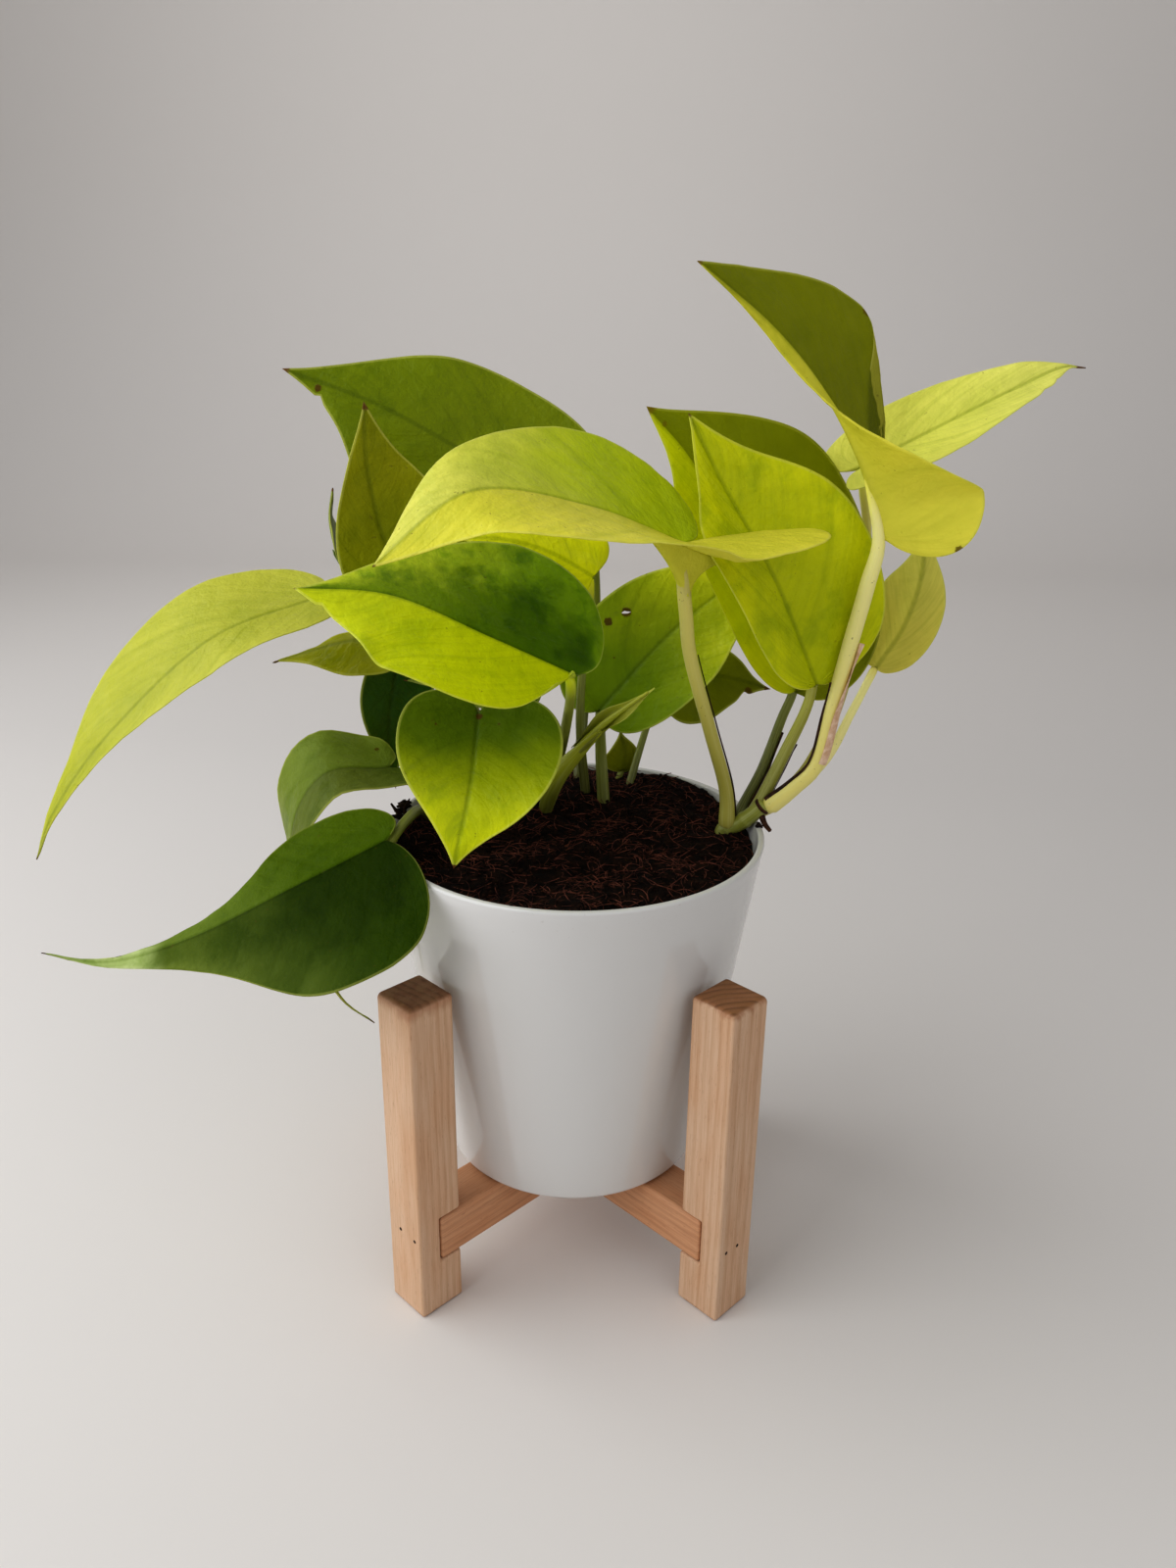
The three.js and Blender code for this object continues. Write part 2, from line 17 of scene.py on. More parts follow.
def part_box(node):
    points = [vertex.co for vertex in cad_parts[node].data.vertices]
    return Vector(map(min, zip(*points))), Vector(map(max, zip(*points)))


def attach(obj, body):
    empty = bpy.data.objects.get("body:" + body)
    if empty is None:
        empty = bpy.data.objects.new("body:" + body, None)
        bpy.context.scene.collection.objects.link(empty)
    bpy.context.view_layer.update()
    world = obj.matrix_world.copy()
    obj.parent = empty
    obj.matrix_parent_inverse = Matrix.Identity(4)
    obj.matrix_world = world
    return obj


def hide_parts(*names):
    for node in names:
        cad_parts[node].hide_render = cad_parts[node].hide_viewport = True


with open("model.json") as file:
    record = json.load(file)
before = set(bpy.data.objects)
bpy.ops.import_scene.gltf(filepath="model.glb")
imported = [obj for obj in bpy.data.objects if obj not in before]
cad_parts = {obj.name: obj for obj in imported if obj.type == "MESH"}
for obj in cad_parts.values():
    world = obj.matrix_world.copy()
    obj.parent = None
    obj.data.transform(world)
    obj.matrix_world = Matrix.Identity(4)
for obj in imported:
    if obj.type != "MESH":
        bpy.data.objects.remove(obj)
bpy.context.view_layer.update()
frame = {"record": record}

bl_info = {
    "name": "Potted lime aroid",
    "version": (1, 0, 0),
    "blender": (4, 5, 0),
    "location": "3D View > Sidebar > Plant",
    "description": "Makes a heart-leaf plant, its pot and its wooden stand, and the stage that they stand on",
    "category": "Add Mesh",
}

MM = 0.001


def box_mm(node):
    """A packed node's lowest and highest corners in mm."""
    return [np.array(corner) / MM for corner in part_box(node)]


POT_LOW, POT_HIGH = box_mm("pot")
STAND_AXIS = np.array([(POT_LOW[0] + POT_HIGH[0]) / 2, (POT_LOW[1] + POT_HIGH[1]) / 2, 0.0])

# The eye that every leaf's place is measured from: a 1200 x 1600 frame, looking down and slightly rolled.
EYE = np.array([3.6, -331.7, 280.0])
EYE_PITCH = math.radians(21.23)
EYE_ROLL = math.radians(0.7)
EYE_FOCAL = 1230.0
FRAME_SIZE = (1200, 1600)

# Sizes in mm that the packed boxes don't give.
SOIL_TOP = 133.0  # height that the stalks' feet are placed at
ROOT_DEPTH = 12.0  # of a foot in the soil
POT_BASE = 40.3  # radius of the pot's foot
SOIL_INSET = 4.4  # from the foot's outside to the soil
LEG_HALF = 7.5  # half a leg's side
BAR_REACH = 61.2  # from the crossing to a bar's end
HALVING = 7.8  # half the width of the notch at the crossing
HALVING_GAP = 0.15  # from the bars' middle height to each one's cut
HOUSING_GAP = 0.3  # play above and below a bar's end
BAR_PITH = -55.0  # height of the pith of the wood that the bars are cut from


def srgb(code):
    """A hex colour as linear red, green and blue."""
    parts = [((code >> shift) & 255) / 255 for shift in (16, 8, 0)]
    return tuple(c / 12.92 if c <= 0.04045 else ((c + 0.055) / 1.055) ** 2.4 for c in parts)


def rgba(code):
    return (*srgb(code), 1.0)


# Leaves. A point is [across, down, depth]: across and down in the eye's frame, depth as its real y.
# rib: leaf base to tip. left, right: the widest point of each half, seen on the upper face, tip ahead.
# lobe, belly, shoulder, neck, tail: each half's outline in leaf lengths (tail in half widths).
# twist: degrees that each half turns towards the tip. cup: degrees that the lobes rise.
# thick: the stalk's radius in mm. stalk: leaf base to soil. foot: where it enters the soil, or end: where
# it leaves the creeping stem. stalk_tone: its colour by the leaf and at its foot. tone: the blade's colour
# at the base and at the tip, for both halves or for the left and then the right; on the leaves marked below
# it also holds painted light or shade.
# glow: how much light the blade lets through. shine: its gloss. heart: how much greener the middle of
# each half is, and cloud: how strongly it is mottled; on leaf_05's right half both also paint shadow.
# fade: from which share on it pales, and to what, as painted light on leaf_01's tail.
# below: the underside's colour. sinus: how far each half's margin stays back beside the stalk.
# margin: how pale the margin is. quilt: how much stronger than usual the side veins' relief is.
# seat: how far under the blade the stalk ends, as a share of the usual, and run_in: at which share of
# the midrib it ends. tip: from which share of the stalk it narrows, over which share, and by how much.
# taper: how much the stalk narrows. web: the funnel under the blade, from which share of the stalk, to
# which share of the midrib, and how many mm behind the leaf's base.
# wave: height in mm and number of the margin's waves, 0.5 and 3 where it isn't given. worn: length in mm
# of the dry tip, 1 where it isn't given.
# marks: brown spots and holes, [across, down, radius in mm, kind]. nicks: torn places in the
# margin, [side, share from base to tip, depth as a share of the half's width, width as a share].
LEAVES = [
    # leaf_01: the left half's darker tone is painted shade, as that half faces down, and the pale fade along
    # the tail is painted light.
    dict(name="leaf_01", thick=2.0, foot=(440, 838), stalk=[(412, 840, -16), (428, 826, 2)],
         rib=[(392, 858, -29), (300, 905, -37), (195, 957, -40), (110, 981, -40), (42, 972, -38)],
         left=(398, 989, -62), right=(338, 831, -12), belly=(0.15, 0.2), lobe=(0.06, 0.06),
         shoulder=(0.44, 0.37), neck=(0.38, 0.34), tail=(0.04, 0.03),
         tone=((0x324806, 0x7E8E3C), (0x5C7410, 0x8A9C44)), fade=(0.64, 0xDCE8A8), heart=(0.5, 0.3),
         cloud=(0.5, 0.4), margin=0.35, glow=0.3, shine=0.03),
    dict(name="leaf_02", thick=1.6, foot=(462, 828), stalk=[(420, 799, 12), (442, 813, 16)],
         rib=[(393, 783, 6), (330, 790, 2), (298, 850, 2), (312, 950, 4), (345, 1016, 4), (382, 1044, 4)],
         left=(345, 806, -8), right=(302, 762, 20), lobe=(0.14, 0.04),
         tone=((0x7C8A40, 0x808244), (0x8CA040, 0x8E9244)), glow=0.7, cloud=(0.5, 0.5),
         shine=0.08, wave=(0.9, 4), worn=2, marks=[(385, 765, 0.9, "dry")]),
    # leaf_03: its darker base is partly a greener heart and partly painted shadow from leaf_05 above.
    dict(name="leaf_03", thick=1.7, foot=(506, 846), stalk=[(500, 748, -4), (510, 795, 6)],
         rib=[(488, 728, -13), (480, 800, -30), (470, 850, -38), (463, 886, -40)],
         left=(574, 765, -24), right=(402, 765, -30), belly=(0.24, 0.24), shoulder=(0.62, 0.62),
         tail=(0.28, 0.28), lobe=(0.14, 0.14), tone=((0x6A8214, 0xF0F614),), glow=0.4,
         heart=(0.3, 0.3), cloud=(0.35, 0.35), wave=(0.5, 2),
         marks=[(443, 740, 0.5, "dry"), (510, 738, 0.5, "dry"), (489, 730, 1.1, "dry")]),
    dict(name="leaf_04", thick=1.5, foot=(500, 820), stalk=[(430, 696, 36), (470, 750, 37)],
         rib=[(404, 686, 34), (397, 745, 30), (404, 805, 25)], left=(440, 725, 32), right=(367, 715, 30),
         tone=((0x2C5C14, 0x3C6A16),), glow=0.5),
    # leaf_05: the right half's darker green tone, heart and cloud are partly greener tissue and partly
    # painted shadow cast by leaf_16 above.
    dict(name="leaf_05", thick=2.2, foot=(546, 824), stalk=[(581, 724, -10), (568, 780, 18)],
         rib=[(585, 688, -20), (500, 650, -24), (400, 608, -26), (300, 600, -32)],
         left=(415, 692, -46), right=(525, 551, 8), belly=(0.5, 0.24), shoulder=(0.85, 0.56),
         tail=(0.8, 0.12), lobe=(-0.07, 0.12), sinus=(0.25, 0.15),
         tone=((0xDEEA08, 0xE4EE20), (0x8AAE14, 0xE0EC3C)), glow=0.45, heart=(0.1, 0.95),
         cloud=(0.3, 0.9), wave=(0.7, 3), worn=0.3, nicks=[(0, 0.93, 0.25, 0.012)]),
    dict(name="leaf_06", thick=2.0, foot=(474, 824),
         stalk=[(365, 626, 2), (410, 650, 8), (458, 690, 20), (472, 755, 24)],
         rib=[(322, 610, 2), (215, 652, -14), (115, 745, -24), (60, 820, -28), (37, 877, -28)],
         left=(268, 658, -22), right=(205, 593, 12), belly=(0.2, 0.26), shoulder=(0.3, 0.66),
         tail=(0.1, 0.2), lobe=(0.05, 0.07), tone=((0xDCDC5C, 0xCCCE3C),), glow=1.0, cloud=(0.15, 0.15)),
    # leaf_07: its dark olive tone is painted shade; the blade faces away from the light.
    dict(name="leaf_07", thick=2.0, foot=(590, 806), stalk=[(608, 620, 54), (596, 720, 52)],
         rib=[(600, 520, 52), (500, 475, 56), (390, 415, 58), (288, 376, 58)],
         left=(440, 560, 48), right=(525, 389, 66), belly=(0.45, 0.38), shoulder=(0.75, 0.66),
         tail=(0.25, 0.42), lobe=(0.1, 0.04), tone=((0x84920A, 0x809208),), glow=0.6, wave=(0.8, 3), worn=2,
         marks=[(322, 394, 1.2, "dry")], nicks=[(0, 0.9, 0.3, 0.012)]),
    # leaf_08: its dark olive tone is painted shade; the blade faces away from the light.
    dict(name="leaf_08", thick=1.8, foot=(535, 808), stalk=[(475, 672, 38), (512, 740, 42)],
         rib=[(430, 630, 34), (395, 560, 34), (375, 480, 34), (371, 410, 34)],
         left=(348, 590, 28), right=(490, 565, 38), shoulder=(0.55, 0.6), tail=(0.2, 0.42),
         lobe=(0.08, 0.12), tone=((0x9CA20C, 0x9E9C08),), glow=0.6, wave=(0.6, 3), worn=2),
    dict(name="leaf_09", thick=2.3, foot=(616, 826), stalk=[(613, 765, 26)],
         rib=[(612, 724, 22), (680, 650, 28), (740, 600, 34), (800, 550, 40)],
         left=(625, 600, 34), right=(705, 715, 14), belly=(0.25, 0.35), shoulder=(0.6, 0.6),
         tail=(0.2, 0.3), lobe=(0.08, 0.04), tone=((0x90AC14, 0xFCFC34),), glow=0.4,
         heart=(0.4, 0.4), cloud=(0.25, 0.3), wave=(0.6, 3),
         marks=[(639, 624, 1.4, "hole"), (624, 635, 1.5, "dry"), (652, 640, 0.4, "dry"),
                (628, 672, 0.5, "dry")]),
    dict(name="leaf_10", thick=1.5, foot=(640, 812), stalk=[(662, 735, 44)],
         rib=[(680, 690, 46), (735, 690, 48), (786, 703, 50)], left=(720, 650, 54), right=(715, 738, 40),
         tail=(0.2, 0.2), shoulder=(0.6, 0.6), lobe=(0.05, 0.05), tone=((0x868E0A, 0x82880A),), glow=0.6,
         wave=(0.6, 3), worn=2, marks=[(763, 706, 1.6, "dry")], nicks=[(1, 0.82, 0.4, 0.03)]),
    dict(name="leaf_11", thick=1.7, foot=(598, 818), stalk=[(596, 660, 16), (592, 740, 18)],
         rib=[(605, 588, 14), (560, 563, 14), (510, 550, 12), (452, 548, 10)],
         left=(570, 606, 8), right=(590, 530, 26), lobe=(0.02, 0.05), sinus=(0.9, 0.7),
         tone=((0xFFFF18, 0xFCFC1C),), glow=0.3, cloud=(0.1, 0.1)),
    dict(name="leaf_12", thick=1.5, foot=(520, 818), stalk=[(438, 664, 28), (492, 735, 33)],
         rib=[(396, 652, 18), (350, 655, 20), (278, 676, 22)], left=(368, 690, 10), right=(360, 642, 27),
         tone=((0xB4B40A, 0xB6B60C),), glow=0.8, worn=2),
    dict(name="leaf_13", thick=1.2, foot=(512, 804), stalk=[(378, 620, 42), (440, 720, 46)],
         rib=[(346, 565, 38), (338, 530, 38), (340, 498, 38)], left=(336, 535, 30), right=(344, 535, 46),
         tone=((0x55681A, 0x55681A),), glow=0.5, wave=(0.3, 2)),
    dict(name="leaf_14", thick=1.5, foot=(528, 828), stalk=[(545, 740, 14)],
         rib=[(540, 694, 6), (480, 694, 4), (412, 694, 2)], left=(488, 725, -7), right=(495, 664, 20),
         lobe=(0.1, 0.1), tone=((0x4A7412, 0x557A14),), glow=0.6),
    dict(name="leaf_15", thick=1.4, foot=(626, 804), stalk=[(630, 796, 42)],
         rib=[(636, 786, 42), (638, 768, 42), (632, 744, 42)], left=(616, 776, 42), right=(652, 772, 44),
         lobe=(0.05, 0.05), shoulder=(0.6, 0.6), tone=((0x8C9018, 0x8C8C18),), glow=0.8, wave=(0.3, 2)),
]

# Leaves that grow from the stem lying over the rim on the right.
VINE_STEM = dict(thick=2.6, foot=(738, 850), line=[(752, 841, 6), (766, 832, 5), (780, 821, 4)],
                 root=[(776, 828, 4), (780, 840, 2), (786, 848, 1)])
VINE_LEAVES = [
    # leaf_16: the left half's paler tone is painted light, on the front of the arch that catches the lamp.
    dict(name="leaf_16", thick=2.25, end=(742, 846, 6),
         stalk=[(700, 622, -8), (705, 670, -4), (725, 745, 2), (741, 805, 6)],
         rib=[(697, 554, -12), (600, 516, -26), (480, 502, -40), (380, 578, -52)],
         left=(690, 541, -50), right=(620, 448, 8), belly=(0.1, 0.2), shoulder=(0.6, 0.4), neck=(0.8, 0.76),
         tail=(0.32, 0.3), lobe=(0.38, 0.1), cup=(28, 10), twist=(-32, 0),
         tone=((0xF6EE58, 0xF4EE50), (0xD8E81C, 0xF8F474)), below=0xF0EA58, glow=0.6, heart=(0.1, 0.2),
         cloud=(0.15, 0.22), taper=0.12, tip=(0.8, 0.12, 0.6), web=(0.8, 0.17, 15.0), worn=0.5),
    # leaf_17: the right half's dark olive tone is painted shade, on the half that faces away from the light.
    dict(name="leaf_17", thick=2.5, taper=0.12, seat=0.15, run_in=0.22, sinus=(0.35, 0.15), end=(780, 826, 4),
         tip=(0.66, 0.34, 0.96),
         stalk=[(885, 598, 2), (867, 660, 4), (850, 721, 4), (834, 778, 4), (809, 804, 4)],
         rib=[(898, 546, 2), (882, 478, 2), (844, 402, 2), (790, 334, 1), (712, 266, -2)],
         left=(1006, 520, -12), right=(890, 326, 24), belly=(0.08, 0.55), shoulder=(0.15, 0.6),
         neck=(0.23, 0.85), tail=(0.12, 0.35), lobe=(0.1, -0.315), twist=(-170, 0),
         tone=((0xFFF86C, 0xEEE650), (0x747C08, 0x7A840C)), below=0xF6EE60, glow=1.2,
         stalk_tone=(0xFAF2A0, 0xE8DC80), cloud=(0.15, 0.3),
         marks=[(888, 318, 1.3, "dry"), (985, 570, 1.2, "dry")]),
    dict(name="leaf_18", thick=2.0, end=(776, 830, 6), stalk=[(884, 560, 36), (864, 690, 36), (826, 780, 20)],
         rib=[(880, 476, 26), (950, 440, 30), (1030, 400, 34), (1082, 376, 38), (1108, 375, 39)],
         left=(915, 410, 38), right=(935, 478, 14), shoulder=(0.8, 0.75), neck=(0.84, 0.84),
         tail=(0.06, 0.05), lobe=(0.14, 0.12), tone=((0xFCFA74, 0xFCFA80),), glow=0.4,
         cloud=(0.1, 0.1), wave=(0.7, 3), worn=3, nicks=[(1, 0.72, 0.12, 0.02), (1, 0.8, 0.18, 0.014)]),
    dict(name="leaf_19", thick=2.2, end=(768, 834, 5), stalk=[(822, 725, 6), (800, 770, 8)],
         rib=[(833, 698, 4), (790, 590, 0), (735, 490, -2), (703, 422, -4)],
         left=(722, 560, -12), right=(898, 570, 8), belly=(0.48, 0.34), shoulder=(0.8, 0.66),
         tail=(0.5, 0.45), lobe=(0, 0.04), tone=((0xDEE40A, 0xECF010),), glow=0.55,
         heart=(0.3, 0.3), cloud=(0.4, 0.4), quilt=3.5, wave=(0.6, 3), worn=0.5,
         stalk_tone=(0xA8A844, 0x8C8C38)),
    dict(name="leaf_20", thick=2.0, end=(752, 838, 6), stalk=[(797, 735, 24), (778, 785, 20), (760, 820, 12)],
         rib=[(812, 705, 24), (765, 590, 22), (712, 480, 20), (660, 415, 18)],
         left=(712, 570, 16), right=(876, 520, 26), belly=(0.45, 0.4), shoulder=(0.85, 0.82),
         tail=(0.6, 0.6), lobe=(0, 0.1), tone=((0xF4FA10, 0xF4FA18), (0x58680A, 0x7C8C0A)), glow=1.7,
         stalk_tone=(0x787E2E, 0x565A22), wave=(0.6, 3), worn=2, marks=[(680, 435, 0.9, "dry")]),
    dict(name="leaf_21", thick=1.8, end=(779, 826, 6), stalk=[(870, 725, 26), (838, 780, 16)],
         rib=[(895, 680, 28), (922, 640, 28), (940, 590, 30), (945, 535, 32)],
         left=(896, 600, 34), right=(970, 615, 30), belly=(0.35, 0.35), shoulder=(0.7, 0.7),
         tail=(0.3, 0.3), lobe=(0.03, 0.03), tone=((0xE8DC64, 0xE8E06C),), glow=0.6, cloud=(0.15, 0.15),
         stalk_tone=(0xFAF2A0, 0xE8D898), wave=(0.5, 2)),
]

# Dry sheaths: leaf, paint, from and to as shares of its stalk, angle covered and side in radians, and how
# far the edges lift in mm.
DRY_SHEATHS = [
    ("leaf_16", "black", 0.03, 0.6, 0.6, -0.1, 0.0),
    ("leaf_17", "black", 0.02, 0.42, 0.7, 3.0, 0.4),
    ("leaf_19", "black", 0.02, 0.5, 0.6, 0.1, 0.3),
    ("leaf_20", "black", 0.02, 0.62, 1.0, 0.6, 0.5),
    ("leaf_17", "tan", 0.2, 0.54, 2.4, 0.4, 1.1),
]

# Crumbs on the rim: bearing in degrees, distance from the pot's axis and radius in mm.
RIM_BITS = [(245, 54.4, 0.45), (249, 54.3, 0.3), (253, 54.5, 0.5), (257, 54.3, 0.35), (1.6, 55.2, 1.1),
            (4, 55.5, 0.6), (166, 55.0, 2.0), (170, 54.6, 1.5), (163, 55.2, 1.3), (98, 55.2, 0.6)]

# Dry ends of old stalks on the rim: line and radius in mm.
DRY_ENDS = [([(412, 836, 5), (405, 828, 4), (399, 820, 4)], 1.0),
            ([(414, 832, 4), (413, 824, 3), (418, 815, 3)], 0.7),
            ([(408, 834, 3), (400, 833, 2), (394, 836, 1)], 0.8)]

# The new leaf, still rolled in a spike.
SPIKE = dict(foot=(556, 832), line=[(566, 798, 6), (588, 768, 0), (620, 736, -4), (667, 702, -10)])


# Sight lines

def sight_line(u, v):
    """Direction from the eye through a place in its frame."""
    ahead = np.array([0.0, math.cos(EYE_PITCH), -math.sin(EYE_PITCH)])
    level = np.array([1.0, 0.0, 0.0])
    above = np.cross(level, ahead)
    across = math.cos(EYE_ROLL) * level + math.sin(EYE_ROLL) * above
    upward = math.cos(EYE_ROLL) * above - math.sin(EYE_ROLL) * level
    return ahead + across * (u - FRAME_SIZE[0] / 2) / EYE_FOCAL + upward * (FRAME_SIZE[1] / 2 - v) / EYE_FOCAL


def seen(place):
    u, v, depth = place
    line = sight_line(u, v)
    return EYE + line * (depth - EYE[1]) / line[1]


def on_soil(place):
    line = sight_line(*place)
    return EYE + line * (SOIL_TOP - EYE[2]) / line[2]


def nearest_seen(points, u, v):
    """The number of the point that shows closest to a place in the eye's frame."""
    line = sight_line(u, v)
    away = points - EYE
    off = away - line * (away @ line)[:, None] / (line @ line)
    return int(np.argmin(np.linalg.norm(off, axis=1)))


# Curves

def unit(v):
    return v / np.maximum(np.linalg.norm(v, axis=-1, keepdims=True), 1e-12)


def square_to(v, axis):
    return unit(v - np.sum(v * axis, axis=-1, keepdims=True) * axis)


class Curve:
    """A smooth curve through points, read by share of its length."""

    def __init__(self, points, samples=400):
        points = np.asarray(points, float)
        ends = np.vstack([2 * points[0] - points[1], points, 2 * points[-1] - points[-2]])
        t = np.linspace(0, len(points) - 1 - 1e-9, samples)
        i = t.astype(int)
        f = (t - i)[:, None]
        a, b, c, d = ends[i], ends[i + 1], ends[i + 2], ends[i + 3]
        self.line = 0.5 * (2 * b + (c - a) * f + (2 * a - 5 * b + 4 * c - d) * f**2
                           + (3 * b - a - 3 * c + d) * f**3)
        steps = np.linalg.norm(np.diff(self.line, axis=0), axis=1)
        self.run = np.concatenate([[0], np.cumsum(steps)])
        self.length = self.run[-1]

    def at(self, share):
        share = np.clip(share, 0, 1) * self.length
        return np.stack([np.interp(share, self.run, self.line[:, k]) for k in range(3)], axis=-1)

    def along(self, share, reach=0.012):
        share = np.asarray(share, float)
        return unit(self.at(np.minimum(share + reach, 1)) - self.at(np.maximum(share - reach, 0)))


def seen_curve(places):
    return Curve([seen(p) for p in places])


def bezier(a, b, c, d, t):
    return (1 - t) ** 3 * a + 3 * (1 - t) ** 2 * t * b + 3 * (1 - t) * t * t * c + t**3 * d


# Meshes

def level_ways(degrees):
    """Two level directions: out at a bearing, and square to it."""
    a = math.radians(degrees)
    return np.array([math.cos(a), math.sin(a), 0]), np.array([-math.sin(a), math.cos(a), 0])


def circle(radius, z, steps):
    return [(radius * math.cos(a), radius * math.sin(a), z)
            for a in np.linspace(0, math.tau, steps, endpoint=False)]


def linked(name, data):
    """A new object in the scene."""
    made = bpy.data.objects.new(name, data)
    bpy.context.scene.collection.objects.link(made)
    return made


def mesh_data(name, points, faces):
    """A mesh from points in mm in the stand's axes."""
    mesh = bpy.data.meshes.new(name)
    points = (np.asarray(points) + STAND_AXIS) * MM
    mesh.from_pydata([tuple(p) for p in points], [], [tuple(f) for f in faces])
    return mesh


def mesh_object(name, points, faces, materials, groups=None):
    """A smooth object at the origin. groups gives each face's material number."""
    mesh = mesh_data(name, points, faces)
    for material in materials:
        mesh.materials.append(material)
    mesh.polygons.foreach_set("use_smooth", [True] * len(mesh.polygons))
    if groups is not None:
        mesh.polygons.foreach_set("material_index", groups)
    mesh.update()
    return linked(name, mesh)


def keep(piece, slot, *nodes):
    """Puts a piece under the root body and hides the packed nodes that it replaces; slot, its finish, is not
    used.
    """
    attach(piece, "root")
    if nodes:
        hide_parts(*nodes)


def vector_attribute(mesh, name, values):
    made = mesh.attributes.new(name, "FLOAT_VECTOR", "POINT")
    made.data.foreach_set("vector", np.asarray(values, np.float32).ravel())


def plain_mesh(piece):
    """Turns a piece's modifiers into mesh."""
    shown = piece.evaluated_get(bpy.context.evaluated_depsgraph_get())
    mesh = bpy.data.meshes.new_from_object(shown)
    piece.modifiers.clear()
    piece.data = mesh
    mesh.name = piece.name
    return piece


def grid_faces(rows, cols, close=False, first=0, turned=False):
    """Faces between the points of a grid that runs row by row. close joins its last column to its first."""
    faces = []
    for i in range(rows - 1):
        for j in range(cols if close else cols - 1):
            k = (j + 1) % cols
            a, b = first + i * cols, first + (i + 1) * cols
            ring = (a + j, a + k, b + k, b + j)
            faces.append(ring[::-1] if turned else ring)
    return faces


def fan(middle, first, count, turned=False):
    """Faces from a middle point to a ring of points."""
    pairs = [(first + k, first + (k + 1) % count) for k in range(count)]
    return [(middle, b, a) if turned else (middle, a, b) for a, b in pairs]


# Nodes

class Nodes:
    """Puts nodes in a tree and joins them."""

    def node(self, kind, inputs=(), **settings):
        made = self.tree.nodes.new(kind)
        for key, value in settings.items():
            setattr(made, key, value)
        for key, value in dict(inputs).items():
            self.put(made, key, value)
        return made

    def put(self, node, key, value):
        if isinstance(value, bpy.types.NodeSocket):
            self.tree.links.new(value, node.inputs[key])
        else:
            node.inputs[key].default_value = value


# Materials

class Paint(Nodes):
    """A material with one Principled shader, built node by node."""

    def __init__(self, name):
        self.material = bpy.data.materials.new(name)
        self.material.use_nodes = True
        self.tree = self.material.node_tree
        self.shader = self.tree.nodes["Principled BSDF"]
        self.output = self.tree.nodes["Material Output"]

    def set(self, **values):
        for key, value in values.items():
            self.put(self.shader, key.replace("_", " "), value)

    def mapped(self, vector, **settings):
        return self.node("ShaderNodeMapping", {"Vector": vector, **settings}).outputs[0]

    def place(self, centre=(0, 0, 0), turn=(0, 0, 0)):
        """The piece's own coordinates in millimetres from a centre, then turned."""
        own = self.node("ShaderNodeTexCoord").outputs["Object"]
        moved = self.mapped(own, Location=tuple(-c for c in centre), Scale=(1000, 1000, 1000))
        return self.mapped(moved, Rotation=turn)

    def split(self, vector):
        return self.node("ShaderNodeSeparateXYZ", {0: vector}).outputs

    def own(self, name):
        """The three numbers of a vector attribute."""
        return self.split(self.node("ShaderNodeAttribute", attribute_name=name).outputs["Vector"])

    def noise(self, vector, scale, detail, roughness=0.55):
        made = self.node("ShaderNodeTexNoise", {"Vector": vector, "Scale": scale, "Detail": detail,
                                                "Roughness": roughness})
        return made.outputs["Fac"]

    def grain(self, vector, scale, detail, roughness=0.55):
        """Noise with its own scale each way."""
        return self.noise(self.mapped(vector, Scale=scale), 1.0, detail, roughness)

    def math(self, operation, a, b=0.0, c=0.0):
        return self.node("ShaderNodeMath", {0: a, 1: b, 2: c}, operation=operation).outputs[0]

    def times(self, a, b):
        return self.math("MULTIPLY", a, b)

    def plus(self, a, b):
        return self.math("ADD", a, b)

    def ramp(self, value, low, high, to_low=0.0, to_high=1.0):
        """Takes low..high smoothly to to_low..to_high."""
        made = self.node("ShaderNodeMapRange", {0: value, 1: low, 2: high, 3: to_low, 4: to_high})
        made.interpolation_type = "SMOOTHSTEP"
        return made.outputs[0]

    def mix(self, share, a, b, blend="MIX"):
        """Blends two colours, each of them a socket, four numbers or a hex code."""
        made = self.node("ShaderNodeMix", {0: share}, data_type="RGBA", blend_type=blend)
        for key, value in ((6, a), (7, b)):
            self.put(made, key, rgba(value) if isinstance(value, int) else value)
        return made.outputs[2]

    def tint(self, share, colour, code):
        """Multiplies a colour by another one, by a share."""
        return self.mix(share, colour, self.mix(1.0, colour, code, "MULTIPLY"))

    def vector(self, operation, a, b, output=0):
        return self.node("ShaderNodeVectorMath", {0: a, 1: b}, operation=operation).outputs[output]

    def warped(self, vector, scale, by, detail=2.0):
        """Coordinates pushed about by slow noise, so that a pattern on them flows."""
        settings = {"Vector": vector, "Scale": scale, "Detail": detail}
        push = self.node("ShaderNodeTexNoise", settings).outputs["Color"]
        return self.vector("ADD", vector, self.vector("MULTIPLY", push, (by, by, by)))

    def spot(self, colour, at, centre, radius, kind):
        """A ragged brown spot, or the brown edge of a hole, round a centre in mm."""
        middle = tuple(c + radius / 2 for c in centre)
        away = self.vector("DISTANCE", self.warped(at, 1.1, radius, 3.0), middle, "Value")
        reach = radius * 1.3 if kind == "hole" else radius
        return self.mix(self.ramp(away, reach, reach * 0.7, 0.0, 0.9), colour, 0x5C3A14)

    def bump(self, height, strength, distance):
        return self.node("ShaderNodeBump", {"Height": height, "Strength": strength,
                                            "Distance": distance}).outputs[0]


